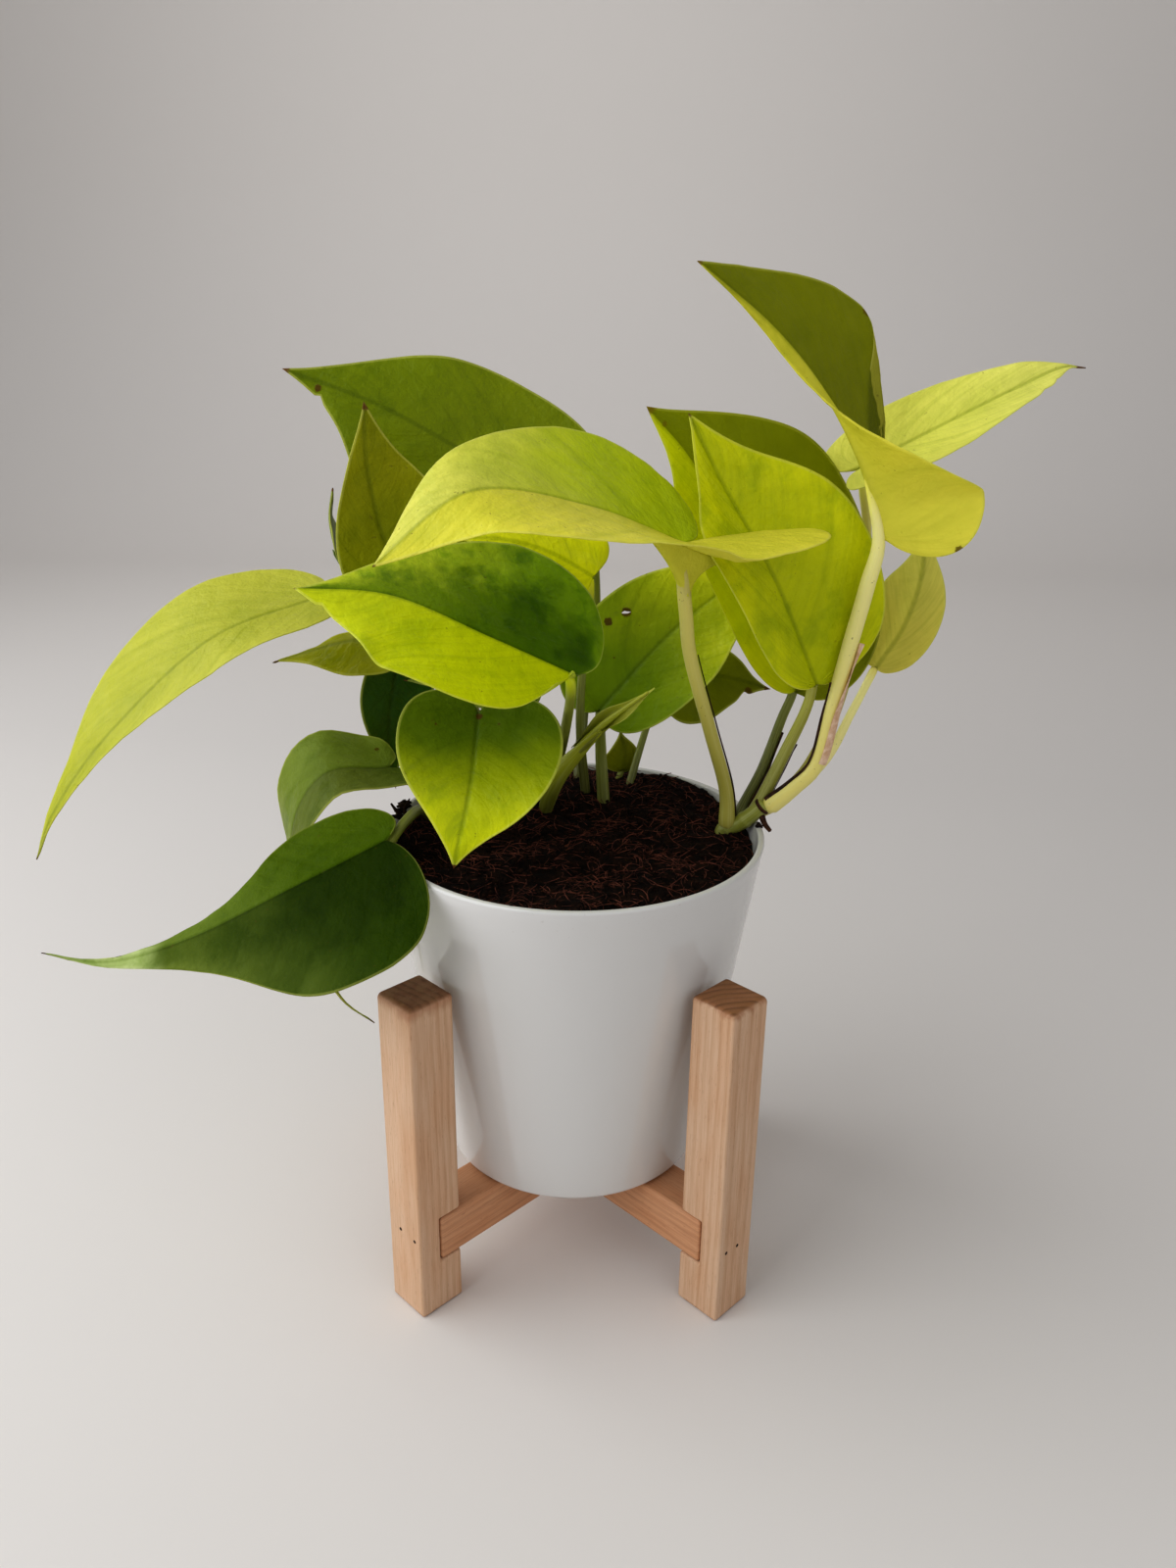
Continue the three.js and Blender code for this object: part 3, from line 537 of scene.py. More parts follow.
def wood_material(name, light, dark, turn, pith, end=0.0, stain=False):
    """Straight-grained softwood. turn brings the grain onto Z, and pith is where the growth rings centre.

    Above end, in mm, the end grain shows darker, and stain soaks it brown.
    """
    p = Paint(name)
    at = p.place(pith, turn)
    x, y, _ = p.split(at)
    drift = p.grain(at, (0.05, 0.05, 0.012), 2)
    out = p.math("SQRT", p.plus(p.times(x, x), p.times(y, y)))
    count = p.plus(p.times(out, 0.42), p.times(drift, 1.6))
    rings = p.math("FRACT", count)
    year = p.node("ShaderNodeTexWhiteNoise", {"W": p.math("FLOOR", count)}, noise_dimensions="1D")
    late = p.times(p.ramp(rings, 0.3, 0.85), p.ramp(rings, 1.0, 0.88))
    late = p.times(late, p.math("MULTIPLY_ADD", year.outputs["Value"], 0.75, 0.25))
    fibre = p.grain(at, (2.6, 2.6, 0.07), 4, 0.6)
    pores = p.grain(at, (3.5, 3.5, 0.35), 1)
    patch = p.grain(at, (0.12, 0.12, 0.03), 3)
    colour = p.mix(p.times(late, 0.42), light, dark)
    colour = p.mix(p.ramp(fibre, 0.4, 0.75, 0.0, 0.4), colour, dark)
    colour = p.tint(p.ramp(pores, 0.66, 0.74, 0.0, 0.3), colour, 0x9C7A60)
    colour = p.tint(p.ramp(patch, 0.35, 0.7, 0.0, 0.5), colour, 0xF4E0CC)
    if end:
        z = p.split(p.place())[2]
        soak = p.grain(p.place(), (0.3, 0.3, 0.12), 4)
        deep = 5.0 if stain else 2.5
        browned = p.mix(1.0, colour, 0xC09878, "MULTIPLY")
        near = p.plus(z, p.times(p.math("SUBTRACT", soak, 0.5), 7.0))
        colour = p.mix(p.ramp(near, end - deep, end, 0.0, 0.6), colour, browned)
        # Darker and browner over the lowest 2 mm, towards the leg's foot.
        foot = p.plus(z, p.times(soak, 2.0))
        colour = p.mix(p.ramp(foot, 2.2, 0.9, 0.0, 0.8), colour, browned)
        ends = p.mix(p.times(late, 0.9), 0x84583C if stain else 0x9A6A46, 0x56361F)
        ends = p.mix(p.ramp(soak, 0.35, 0.65, 0.0, 0.5), ends, 0xA07A58 if stain else 0x8A6038)
        colour = p.mix(p.ramp(z, end - (1.2 if stain else 0.8), end - 0.2, 0.0, 0.92), colour, ends)
    p.set(Base_Color=colour, Roughness=p.ramp(fibre, 0.3, 0.7, 0.48, 0.66), Specular_IOR_Level=0.35)
    height = p.plus(p.times(fibre, 0.6), p.times(late, 0.25))
    p.set(Normal=p.bump(height, 0.3, 0.0004))
    return p.material


def pot_material(looks):
    """Glossy white moulded plastic with a little soil dust near the rim."""
    p = Paint("pot_plastic")
    at = p.place()
    near_rim = p.ramp(p.split(at)[2], POT_HIGH[2] - 14, POT_HIGH[2])
    slow = p.noise(at, 0.035, 2)
    dust = p.times(p.ramp(p.noise(at, 0.9, 4, 0.7), 0.62, 0.8), near_rim)
    colour = p.mix(p.times(dust, 0.35), (*looks.colour, 1.0), 0x8A7663)
    p.set(Base_Color=colour, Roughness=p.ramp(p.noise(at, 0.2, 4), 0.3, 0.7, 0.1, 0.17), IOR=1.5,
          Coat_Weight=0.25, Coat_Roughness=0.05, Normal=p.bump(slow, 0.08, 0.002))
    return p.material


def soil_material(name, dark, light):
    p = Paint(name)
    at = p.place()
    clumps = p.noise(at, 0.35, 6, 0.65)
    grains = p.noise(at, 1.7, 5, 0.7)
    colour = p.mix(p.ramp(clumps, 0.38, 0.66), dark, light)
    colour = p.mix(p.ramp(grains, 0.6, 0.78, 0, 0.5), colour, 0x6B4630)
    p.set(Base_Color=colour, Roughness=0.95, Specular_IOR_Level=0.15,
          Normal=p.bump(p.plus(clumps, p.times(grains, 0.6)), 0.9, 0.0015))
    return p.material


def leaf_material(leaf, looks):
    """A waxy blade: mottled lime or green, faint veins, a pale margin, a dry tip and a paler underside; some
    leaves' tones also hold painted light and shade.

    Attribute place holds share along, mm from the midrib and mm from the margin; veins holds the side
    veins' count, 1 on the underside, and share across.
    """
    p = Paint(leaf["name"] + "_blade")
    at = p.place()
    along, aside, rim = p.own("place")[:3]
    count, under, across = p.own("veins")[:3]
    mottle = p.noise(at, 0.09, 4, 0.6)
    cloud = p.noise(at, 0.03, 2)
    fine = p.noise(at, 1.3, 3)
    reach = p.plus(along, p.times(p.math("SUBTRACT", cloud, 0.5), 0.5))
    # A half's tone, and the fade, carry painted light or shade on the leaves marked in the table.
    halves = [p.mix(p.ramp(reach, 0.15, 0.85), base, tip) for base, tip in leaf["tone"]]
    colour = p.mix(p.ramp(aside, -0.15, 0.15), halves[0], halves[-1])
    if "fade" in leaf:
        start, pale = leaf["fade"]
        colour = p.mix(p.ramp(along, start, start + 0.1), colour, pale)

    def by_side(key, usual):
        left, right = leaf.get(key, (usual, usual))
        return p.ramp(aside, -0.15, 0.15, left, right)

    cloudy = p.ramp(p.noise(p.warped(at, 0.12, 9.0), 0.085, 5, 0.62), 0.44, 0.68)
    cloudy = p.times(cloudy, by_side("cloud", 0.3))
    colour = p.tint(cloudy, colour, 0xA8C468)
    inward = p.plus(across, p.times(p.math("SUBTRACT", mottle, 0.5), 1.3))
    # On leaf_05's right half the greener heart is partly painted shadow.
    heart = p.times(p.ramp(inward, 0.95, 0.3), by_side("heart", 0.15))
    colour = p.tint(heart, colour, 0x90A83C)
    beside = p.node("ShaderNodeCombineXYZ", {0: p.times(count, 1.9), 1: across}).outputs[0]
    streaks = p.ramp(p.noise(beside, 1.3, 4, 0.6), 0.4, 0.66, 0.0, 0.22)
    colour = p.tint(streaks, colour, 0xBCCC78)
    from_vein = p.math("ABSOLUTE", p.math("SUBTRACT", p.math("FRACT", count), 0.5))
    line = p.ramp(from_vein, 0.4, 0.5)
    near = p.ramp(from_vein, 0.15, 0.5)
    veined = p.mix(1.0, colour, 0xBCCB90, "MULTIPLY")
    colour = p.mix(p.times(near, 0.06), colour, veined)
    colour = p.mix(p.times(line, 0.04), colour, veined)
    midrib = p.ramp(p.math("ABSOLUTE", aside), 1.1, 0.2)
    colour = p.tint(p.times(midrib, 0.45), colour, 0x9FB060)
    colour = p.mix(p.times(under, 0.45), colour, leaf.get("below", (*looks.underside, 1.0)))
    edge = p.ramp(rim, 0.75, 0.35)
    colour = p.mix(p.times(edge, leaf.get("margin", 0.7)), colour, p.mix(0.5, colour, 0xE6E67C))
    specks = p.times(p.ramp(p.noise(at, 0.8, 1), 0.72, 0.76), p.ramp(p.noise(at, 0.11, 2), 0.5, 0.62))
    colour = p.mix(p.times(specks, 0.5), colour, 0x5C4A1A)
    dry = p.ramp(p.plus(along, p.times(fine, 0.015)), leaf["dry_from"], leaf["dry_from"] + 0.012)
    colour = p.mix(dry, colour, 0x6E4A22)
    for centre, radius, kind in leaf["spots"]:
        colour = p.spot(colour, at, centre, radius, kind)
    rough = p.ramp(p.noise(at, 0.25, 4), 0.3, 0.7, looks.roughness - 0.06, looks.roughness + 0.08)
    height = p.plus(p.times(line, 0.12), p.times(fine, 0.25))
    creases = p.noise(p.warped(at, 0.3, 3.0), 0.33, 3, 0.5)
    height = p.plus(height, p.times(creases, 1.2))
    normal = p.bump(p.plus(height, p.times(mottle, 2.4)), 0.5, 0.0007)
    p.set(Base_Color=colour, Roughness=p.mix(under, rough, (0.6, 0.6, 0.6, 1)), Normal=normal)
    p.set(Specular_IOR_Level=leaf.get("shine", 0.16))
    through = p.mix(0.6, colour, p.mix(1.0, colour, 0xFFFF30, "SCREEN"))
    glow = p.node("ShaderNodeBsdfTranslucent", {"Color": through, "Normal": normal})
    share = min(0.6, looks.translucency * leaf["glow"])
    both = p.node("ShaderNodeMixShader", {0: share, 1: p.shader.outputs[0], 2: glow.outputs[0]})
    p.put(p.output, "Surface", both.outputs[0])
    return p.material


def stalk_material(name, fresh, old, blade=None):
    """Pale stalk: long streaks, and the blade's colour where it meets it.

    place holds share along and the turn round it.
    """
    p = Paint(name)
    at = p.place()
    along, round_x, round_y = p.own("place")[:3]
    turn = {0: p.times(along, 1.5), 1: p.times(round_x, 3), 2: p.times(round_y, 3)}
    streak = p.noise(p.node("ShaderNodeCombineXYZ", turn).outputs[0], 1.6, 3)
    colour = p.mix(p.ramp(along, 0.1, 0.8), old, fresh)
    colour = p.mix(p.ramp(streak, 0.4, 0.7, 0, 0.4), colour, p.mix(0.5, colour, 0xD8DC98))
    if blade is not None:
        colour = p.mix(p.ramp(along, 0.84, 0.97), colour, blade)
    spots = p.times(p.ramp(p.noise(at, 1.1, 1), 0.72, 0.76), p.ramp(p.noise(at, 0.12, 1), 0.48, 0.6))
    colour = p.mix(p.times(spots, 0.6), colour, 0x4E3A1C)
    p.set(Base_Color=colour, Roughness=0.42, Subsurface_Weight=0.15, Subsurface_Radius=(0.004, 0.004, 0.001),
          Subsurface_Scale=0.5, Normal=p.bump(streak, 0.2, 0.0005))
    return p.material


def dry_material(name, dark, light):
    """Matt brown matter in patches: dry sheaths, scars, crumbs and rusty brads."""
    p = Paint(name)
    at = p.place()
    patch = p.noise(at, 0.35, 4, 0.65)
    colour = p.mix(p.ramp(patch, 0.35, 0.7), dark, light)
    p.set(Base_Color=colour, Roughness=0.75, Specular_IOR_Level=0.2, Normal=p.bump(patch, 0.6, 0.0006))
    return p.material


# Leaves

def half_of(leaf, side):
    """The shape of one half of a blade, 0 for left and 1 for right."""
    usual = dict(lobe=0.16, belly=0.2, shoulder=0.5, neck=0.7, tail=0.05, sinus=0.15, twist=0, cup=0, curl=14)
    half = {key: leaf[key][side] if key in leaf else value for key, value in usual.items()}
    for key in ("twist", "cup", "curl"):
        half[key] = math.radians(half[key])
    half["widest"] = seen(leaf["right"] if side else leaf["left"])
    half["sign"] = 1 if side else -1
    return half


def margin_at(u, half):
    """The margin of one half: x in half widths, y in leaf lengths, from the notch at the base to the tip."""
    share = 0.45
    t = np.clip(u / share, 0, 1)
    r = np.clip((u - share) / (1 - share), 0, 1)
    low = u < share
    x = np.where(low, bezier(0, half["sinus"], 1, 1, t), bezier(1, 1, half["tail"], 0, r))
    near = bezier(0, -1.5 * half["lobe"], -1.25 * half["lobe"], half["belly"], t)
    far = bezier(half["belly"], half["shoulder"], half["neck"], 1, r)
    return x, np.where(low, near, far)


FAN = 0.3  # share of the cross lines that start at the leaf's base
BLADE_STEPS = 60


def blade_sheet(leaf, looks):
    """The blade as one sheet: points, faces, and for each point its place and veins numbers."""
    rib = seen_curve(leaf["rib"])
    s = np.linspace(0, 1, BLADE_STEPS + 1)[:-1]
    starts = np.maximum(0, (s - FAN) / (1 - FAN))
    points, place, veins = [rib.at(0.0)], [(0.0, 0.0, 9.0)], [(0.0, 0.0, 0.0)]
    rib_ids = np.zeros(BLADE_STEPS + 1, int)
    for i, start in enumerate(starts):
        if start > 0:
            rib_ids[i] = len(points)
            points.append(rib.at(start))
            place.append((start, 0.0, 9.0))
            veins.append((looks.side_veins * s[i], 0.0, 0.0))
    rib_ids[-1] = tip = len(points)
    points.append(rib.at(1.0))
    place.append((1.0, 0.0, 0.0))
    veins.append((looks.side_veins, 0.0, 1.0))
    faces = []
    wave, waves = leaf.get("wave", (0.5, 3))
    for side in (0, 1):
        half = half_of(leaf, side)
        axis = rib.along(half["belly"])
        reach = half["widest"] - rib.at(half["belly"])
        outward = square_to(reach, axis)
        width = float(reach @ outward)
        t = cross_shares(width)
        mx, my = margin_at(0.05 + 0.95 * s, half)
        for torn, share, depth, spread in leaf.get("nicks", ()):
            if torn == side:
                mx = mx * (1 - depth * np.exp(-(((s - share) / spread) ** 2)))
        x = mx[:, None] * width * t[None, :]
        y = starts[:, None] + (my - starts)[:, None] * t[None, :]
        along = rib.along(np.clip(y, 0, 1))
        out = square_to(np.broadcast_to(outward, along.shape), along)
        up = np.cross(out, along) * half["sign"]
        behind = (np.minimum(y, 0) * rib.length)[..., None]
        cup = half["cup"]
        p = rib.at(np.clip(y, 0, 1)) + along * behind * math.cos(cup) - up * behind * math.sin(cup)
        turn = half["twist"] * np.clip((y - half["belly"]) / (1 - half["belly"]), 0, 1)[..., None]
        out, up = out * np.cos(turn) + up * np.sin(turn), up * np.cos(turn) - out * np.sin(turn)
        lean = -half["curl"] / 2
        bend = (lean + half["curl"] * x / width)[..., None]
        radius = width / half["curl"]
        p = p + out * (np.sin(bend) - math.sin(lean)) * radius + up * (math.cos(lean) - np.cos(bend)) * radius
        count = looks.side_veins * (s[:, None] - 0.17 * t[None, :] ** 1.3)
        rise = leaf.get("quilt", 1) * looks.quilting / MM
        quilt = rise * np.abs(np.sin(np.pi * count)) * np.sin(np.pi * t[None, :] ** 0.8)
        ripple = wave * np.sin(2 * np.pi * (waves * s[:, None] + 0.37 * side)) * t[None, :] ** 3
        ripple = ripple * np.sin(np.pi * np.clip(s[:, None] * 1.02, 0, 1)) ** 0.5
        p = p + up * (quilt * np.sin(np.pi * s[:, None]) ** 0.5 + ripple)[..., None]
        crease = np.array([[noise.noise(tuple(q / 7.0)) + 0.4 * noise.noise(tuple(q / 3.0)) for q in row]
                           for row in p])
        p = p + up * (looks.creasing / MM * crease * np.minimum(1, 4 * t)[None, :])[..., None]
        first = len(points)
        cols = len(t) - 1
        rim = np.linalg.norm(p[:, -1:, :] - p, axis=-1)
        for i in range(BLADE_STEPS):
            points.extend(p[i, 1:])
            sign = half["sign"]
            place.extend((y[i, j], sign * x[i, j], rim[i, j]) for j in range(1, cols + 1))
            veins.extend((count[i, j], 0.0, t[j]) for j in range(1, cols + 1))

        def at(i, j):
            if i == BLADE_STEPS:
                return tip
            return rib_ids[i] if j == 0 else first + i * cols + j - 1

        for i in range(BLADE_STEPS):
            for j in range(cols):
                ring = [at(i, j), at(i, j + 1), at(i + 1, j + 1), at(i + 1, j)]
                ring = [n for k, n in enumerate(ring) if n != ring[k - 1]]
                if len(ring) > 2:
                    faces.append(ring if side else ring[::-1])
    return np.array(points), faces, np.array(place), np.array(veins)


def pierced(points, faces, holes):
    """The sheet with holes round some of its points: points, faces and the numbers of the points kept."""
    points = points.copy()
    for middle, radius in holes:
        border = {k for ring in faces if middle in ring for k in ring} - {middle}
        faces = [ring for ring in faces if middle not in ring]
        for k in border:
            way = unit(points[k] - points[middle])
            ragged = 1 + 0.25 * math.sin(5.0 * k)
            points[k] = points[middle] + way * radius * np.array([1, 1, 0.55]) * ragged
    kept = np.array(sorted({k for ring in faces for k in ring}))
    number = {k: i for i, k in enumerate(kept)}
    return points[kept], [[number[k] for k in ring] for ring in faces], kept


def cross_shares(width):
    """Steps from midrib to margin: close by the midrib's groove and by the rounded margin."""
    near = np.array([0, 0.35, 0.8, 1.5]) / width
    far = 1 - np.array([1.4, 0.5, 0]) / width
    return np.concatenate([near, np.linspace(near[-1], far[0], 14)[1:-1], far])


def sheet_normals(points, faces):
    normals = np.zeros_like(points)
    for ring in faces:
        a, b, c = points[ring[0]], points[ring[1]], points[ring[2]]
        n = np.cross(b - a, c - a)
        if len(ring) == 4:
            n = n + np.cross(c - a, points[ring[3]] - a)
        for k in ring:
            normals[k] += n
    return unit(normals)


def thickened(points, faces, above, below):
    """A closed body from a sheet, with a rounded edge. above and below are each point's distances."""
    normals = sheet_normals(points, faces)
    n = len(points)
    edges = {(ring[k - 1], ring[k]) for ring in faces for k in range(len(ring))}
    border = [(a, b) for a, b in edges if (b, a) not in edges]
    outward = np.zeros_like(points)
    for a, b in border:
        away = np.cross(points[b] - points[a], normals[a] + normals[b])
        outward[a] += away
        outward[b] += away
    ids = sorted({a for a, _ in border})
    number = {k: 2 * n + i for i, k in enumerate(ids)}
    top = points + normals * above[:, None]
    bottom = points - normals * below[:, None]
    middle = (top + bottom)[ids] / 2 + unit(outward[ids]) * (above + below)[ids][:, None] / 2
    body = [list(ring) for ring in faces] + [[k + n for k in ring[::-1]] for ring in faces]
    for a, b in sorted(border):
        body.append([b, a, number[a], number[b]])
        body.append([number[b], number[a], a + n, b + n])
    return np.vstack([top, bottom, middle]), body, ids


def stalk_line(leaf):
    """The stalk's curve, from the soil or the stem to under the midrib, and which way its leaf faces."""
    rib = seen_curve(leaf["rib"])
    along = rib.along(0.02)
    sides = [square_to(seen(leaf[key]) - rib.at(0.2), along) for key in ("right", "left")]
    up = unit(np.cross(sides[0], along) - np.cross(sides[1], along))
    line = root_of(leaf["foot"]) if "foot" in leaf else [seen(leaf["end"])]
    line += [seen(p) for p in reversed(leaf["stalk"])]
    seat = leaf.get("seat", 1)
    line.append(rib.at(0.0) - up * seat * (0.8 * leaf["thick"] + 0.3))
    line.append(rib.at(leaf.get("run_in", 0.07)) - up * seat * 1.5)
    return Curve(line), up


def root_of(foot):
    top = on_soil(foot)
    return [np.array([top[0], top[1], z]) for z in (SOIL_TOP - ROOT_DEPTH, SOIL_TOP - 4, SOIL_TOP + 1)]


def rooted_curve(part):
    """The curve of a stem or spike, from its foot in the soil."""
    return Curve(root_of(part["foot"]) + [seen(p) for p in part["line"]])


TOWARDS_EYE = np.array([0.0, -1.0, 0.3])


def frames(curve, shares, facing=TOWARDS_EYE):
    """Places along a curve, its direction there, and two ways square to it.

    The second way is nearest to facing at the far end, and is carried back from there.
    """
    centres, along = curve.at(shares), curve.along(shares)
    ups = [square_to(facing, along[-1])]
    for k in range(len(shares) - 2, -1, -1):
        ups.append(square_to(ups[-1], along[k]))
    ups = np.array(ups[::-1])
    return centres, along, np.cross(along, ups), ups


def sheath(curve, radius_at, first, last, wide, turn, lift, steps=28, cols=8):
    """A thin sheath wrapped round part of a stalk, narrowing to a point.

    wide is the angle that it covers at its foot, turn the side that it lies on. lift gives how far its
    edges stand off in mm, from 0 at its foot to 1 at its tip.
    """
    shares = np.linspace(first, last, steps + 1)
    centres, _, rights, ups = frames(curve, shares)
    points, place = [], []
    for i, share in enumerate(shares):
        run = i / steps
        cover = wide * (1 - 0.9 * run**2)
        for s in np.linspace(-1, 1, cols + 1):
            a = turn + cover * s / 2
            off = lift(run) * (1 + 0.4 * math.sin(9 * run + 2 * s))
            r = radius_at(share) * (1 - 0.05 * s * s) + 0.08 + off * s * s
            points.append(centres[i] + r * (math.cos(a) * rights[i] + math.sin(a) * ups[i]))
            place.append((run, s, 0.0))
    faces = grid_faces(steps + 1, cols + 1, turned=True)
    thin = np.full(len(points), 0.1)
    body, rings, ids = thickened(np.array(points), faces, thin, thin)
    return body, rings, np.vstack([place, place, np.array(place)[ids]])


def lump(centre, size, seed, rings=7, sides=10):
    """An angular crumb."""
    points = []
    for i in range(1, rings):
        b = math.pi * i / rings
        for k in range(sides):
            a = math.tau * k / sides
            way = np.array([math.sin(b) * math.cos(a), math.sin(b) * math.sin(a), math.cos(b)])
            points.append(centre + way * size * (1 + 0.9 * noise.noise(tuple(way * 1.7 + 5.3 * seed))))
    n = len(points)
    points += [centre + size * np.array([0, 0, 1.0]), centre - size * np.array([0, 0, 1.0])]
    faces = grid_faces(rings - 1, sides, close=True, turned=True)
    faces += fan(n, 0, sides) + fan(n + 1, n - sides, sides, turned=True)
    return np.array(points), faces, np.zeros((n + 2, 3))


def joined(name, bodies, materials):
    """One object from several bodies, each with its material's number."""
    points, faces, place, groups = [], [], [], []
    for (body, rings, at), group in bodies:
        start = sum(len(p) for p in points)
        points.append(body)
        place.append(at)
        faces += [[k + start for k in ring] for ring in rings]
        groups += [group] * len(rings)
    piece = mesh_object(name, np.vstack(points), faces, materials, groups)
    vector_attribute(piece.data, "place", np.vstack(place))
    return piece


def tube(curve, radius_at, steps, sides, groove=0.0, facing=TOWARDS_EYE, first=0.0, last=1.0):
    """A closed stalk along a curve: points, faces, and each point's share along and turn round it."""
    shares = np.linspace(first, last, steps + 1)
    centres, along, rights, ups = frames(curve, shares, facing)
    points, place = [], []
    for i, share in enumerate(shares):
        for k in range(sides):
            a = math.tau * k / sides
            off = a - math.pi / 2 if a < 1.5 * math.pi else a - 2.5 * math.pi
            r = radius_at(share) * (1 - groove * math.exp(-((off / 0.5) ** 2)))
            points.append(centres[i] + r * (math.cos(a) * rights[i] + math.sin(a) * ups[i]))
            place.append((share, math.cos(a), math.sin(a)))
    ends = len(points)
    points.append(centres[0] - along[0] * radius_at(first) * 0.4)
    points.append(centres[-1] + along[-1] * radius_at(last) * 0.4)
    place += [(first, 0.0, 0.0), (last, 0.0, 0.0)]
    faces = grid_faces(steps + 1, sides, close=True, turned=True)
    faces += fan(ends, 0, sides) + fan(ends + 1, steps * sides, sides, turned=True)
    return np.array(points), faces, np.array(place)


def stalk_radius(leaf):
    thick = leaf["thick"]
    head, span, loss = leaf.get("tip", (0.88, 0.12, 0.6))

    def radius_at(t):
        knee = 0.14 * math.exp(-(((t - 0.9) / 0.05) ** 2))
        foot = 0.22 * math.exp(-((t / 0.08) ** 2))
        end = 1 - loss * min(1, max(0, (t - head) / span)) ** 2
        start = 1 if "foot" in leaf else 0.55 + 0.45 * math.sqrt(1 - max(0, 1 - t / 0.03) ** 2)
        return thick * (1 - leaf.get("taper", 0.38) * t) * (1 + knee + foot) * end * start

    return radius_at


def web(leaf, steps=16, sides=24):
    """The funnel under a blade's base, where both halves run down onto the stalk."""
    share, ahead, behind = leaf["web"]
    rib = seen_curve(leaf["rib"])
    curve, up = stalk_line(leaf)
    low, radius = curve.at(share), stalk_radius(leaf)(share)
    front, back = rib.at(ahead) - up * 0.4, rib.at(0.0) - rib.along(0.02) * behind - up * 0.4
    rise = (front + back) / 2 - low
    side = unit(front - back)
    deep = unit(np.cross(side, rise))
    reach = np.linalg.norm(front - back) / 2
    points = []
    for i in range(steps + 1):
        q = i / steps
        long, short = radius + (reach - radius) * q**1.8, radius * (1 - 0.5 * q)
        for k in range(sides):
            a = math.tau * k / sides
            points.append(low + rise * q + side * long * math.cos(a) + deep * short * math.sin(a))
    ends = len(points)
    points += [low, low + rise]
    faces = grid_faces(steps + 1, sides, close=True)
    faces += fan(ends, 0, sides, turned=True) + fan(ends + 1, steps * sides, sides)
    if np.dot(np.cross(side, deep), rise) < 0:
        faces = [ring[::-1] for ring in faces]
    place = [(0.05, -2.0, 9.0)] * len(points)
    return np.array(points), faces, np.array(place)


def leaf_piece(leaf, looks, stalk_tone):
    """One leaf with its stalk: the blade a thin closed body, the stalk another one that runs into it."""
    sheet, faces, place, veins = blade_sheet(leaf, looks)
    leaf["dry_from"] = 1 - leaf.get("worn", 1) / seen_curve(leaf["rib"]).length
    marks = [(nearest_seen(sheet, u, v), radius, kind) for u, v, radius, kind in leaf.get("marks", ())]
    leaf["spots"] = [(sheet[k] + STAND_AXIS, radius, kind) for k, radius, kind in marks]
    sheet, faces, kept = pierced(sheet, faces, [(k, radius) for k, radius, kind in marks if kind == "hole"])
    place, veins = place[kept], veins[kept]
    tones = leaf.get("stalk_tone", stalk_tone)
    stalk_paint = stalk_material(leaf["name"] + "_stalk", *tones, leaf["tone"][0][0])
    materials = [leaf_material(leaf, looks), stalk_paint]
    rim, aside, along = place[:, 2], np.abs(place[:, 1]), np.clip(place[:, 0], 0, 1)
    half = looks.thickness / MM / 2 * (0.55 + 0.45 * np.clip(rim / 4, 0, 1))
    groove = looks.rib_groove / MM * np.exp(-((aside / 0.7) ** 2)) * (1 - 0.6 * along)
    keel = looks.rib_keel / MM * np.exp(-((aside / 1.0) ** 2)) * (1 - 0.85 * along)
    body, rings, ids = thickened(sheet, faces, half - groove, half + keel)
    n = len(sheet)
    place = np.vstack([place, place, place[ids]])
    veins = np.vstack([veins, veins + [0, 1, 0], veins[ids] + [0, 0.5, 0]])
    curve, up = stalk_line(leaf)
    stop = 0.9 if "web" in leaf else 1.0
    bodies = [((body, rings, place), 0), (tube(curve, stalk_radius(leaf), 44, 14, 0.22, up, last=stop), 1)]
    if "web" in leaf:
        bodies.append((web(leaf), 0))
    piece = joined(leaf["name"] + "_grown", bodies, materials)
    rest = len(piece.data.vertices) - len(body)
    vector_attribute(piece.data, "veins", np.vstack([veins, np.zeros((rest, 3))]))
    return piece


# Property groups

def length_field(name, description, default):
    return FloatProperty(name=name, description=description, default=default, unit="LENGTH")


def power_field(name, description, default):
    return FloatProperty(name=name, description=description, default=default, unit="POWER")


def share_field(name, description, default):
    return FloatProperty(name=name, description=description, default=default, min=0, max=1)


def colour_field(name, description, code):
    return FloatVectorProperty(name=name, description=description, default=srgb(code), subtype="COLOR",
                               size=3, min=0, max=1)


class StandLooks(bpy.types.PropertyGroup):
    """Sizes and colours of the wooden stand."""

    side: length_field("Leg side", "Width of the square legs and of the bars", 0.015)
    edge: length_field("Edge rounding", "Radius of the most worn edges", 0.002)
    leg_colour: colour_field("Leg wood", "Lighter wood of the legs", 0xD5B497)
    bar_colour: colour_field("Bar wood", "Redder wood of the crossbars", 0xD09E78)


class PotLooks(bpy.types.PropertyGroup):
    """Sizes and colour of the pot."""

    wall: length_field("Wall", "Thickness of the pot's wall", 0.002)
    steps: IntProperty(name="Round steps", description="Faces round the pot", default=144, min=24)
    colour: colour_field("Plastic", "Colour of the moulded plastic", 0xD6D5D3)


class SoilLooks(bpy.types.PropertyGroup):
    """The potting mix and what lies on it."""

    fibres: IntProperty(name="Fibres", description="Coir fibres per square metre", default=190000, min=0)
    crumbs: IntProperty(name="Crumbs", description="Crumbs per square metre", default=240000, min=0)
    seed: IntProperty(name="Seed", description="Seed of the scattering", default=4)


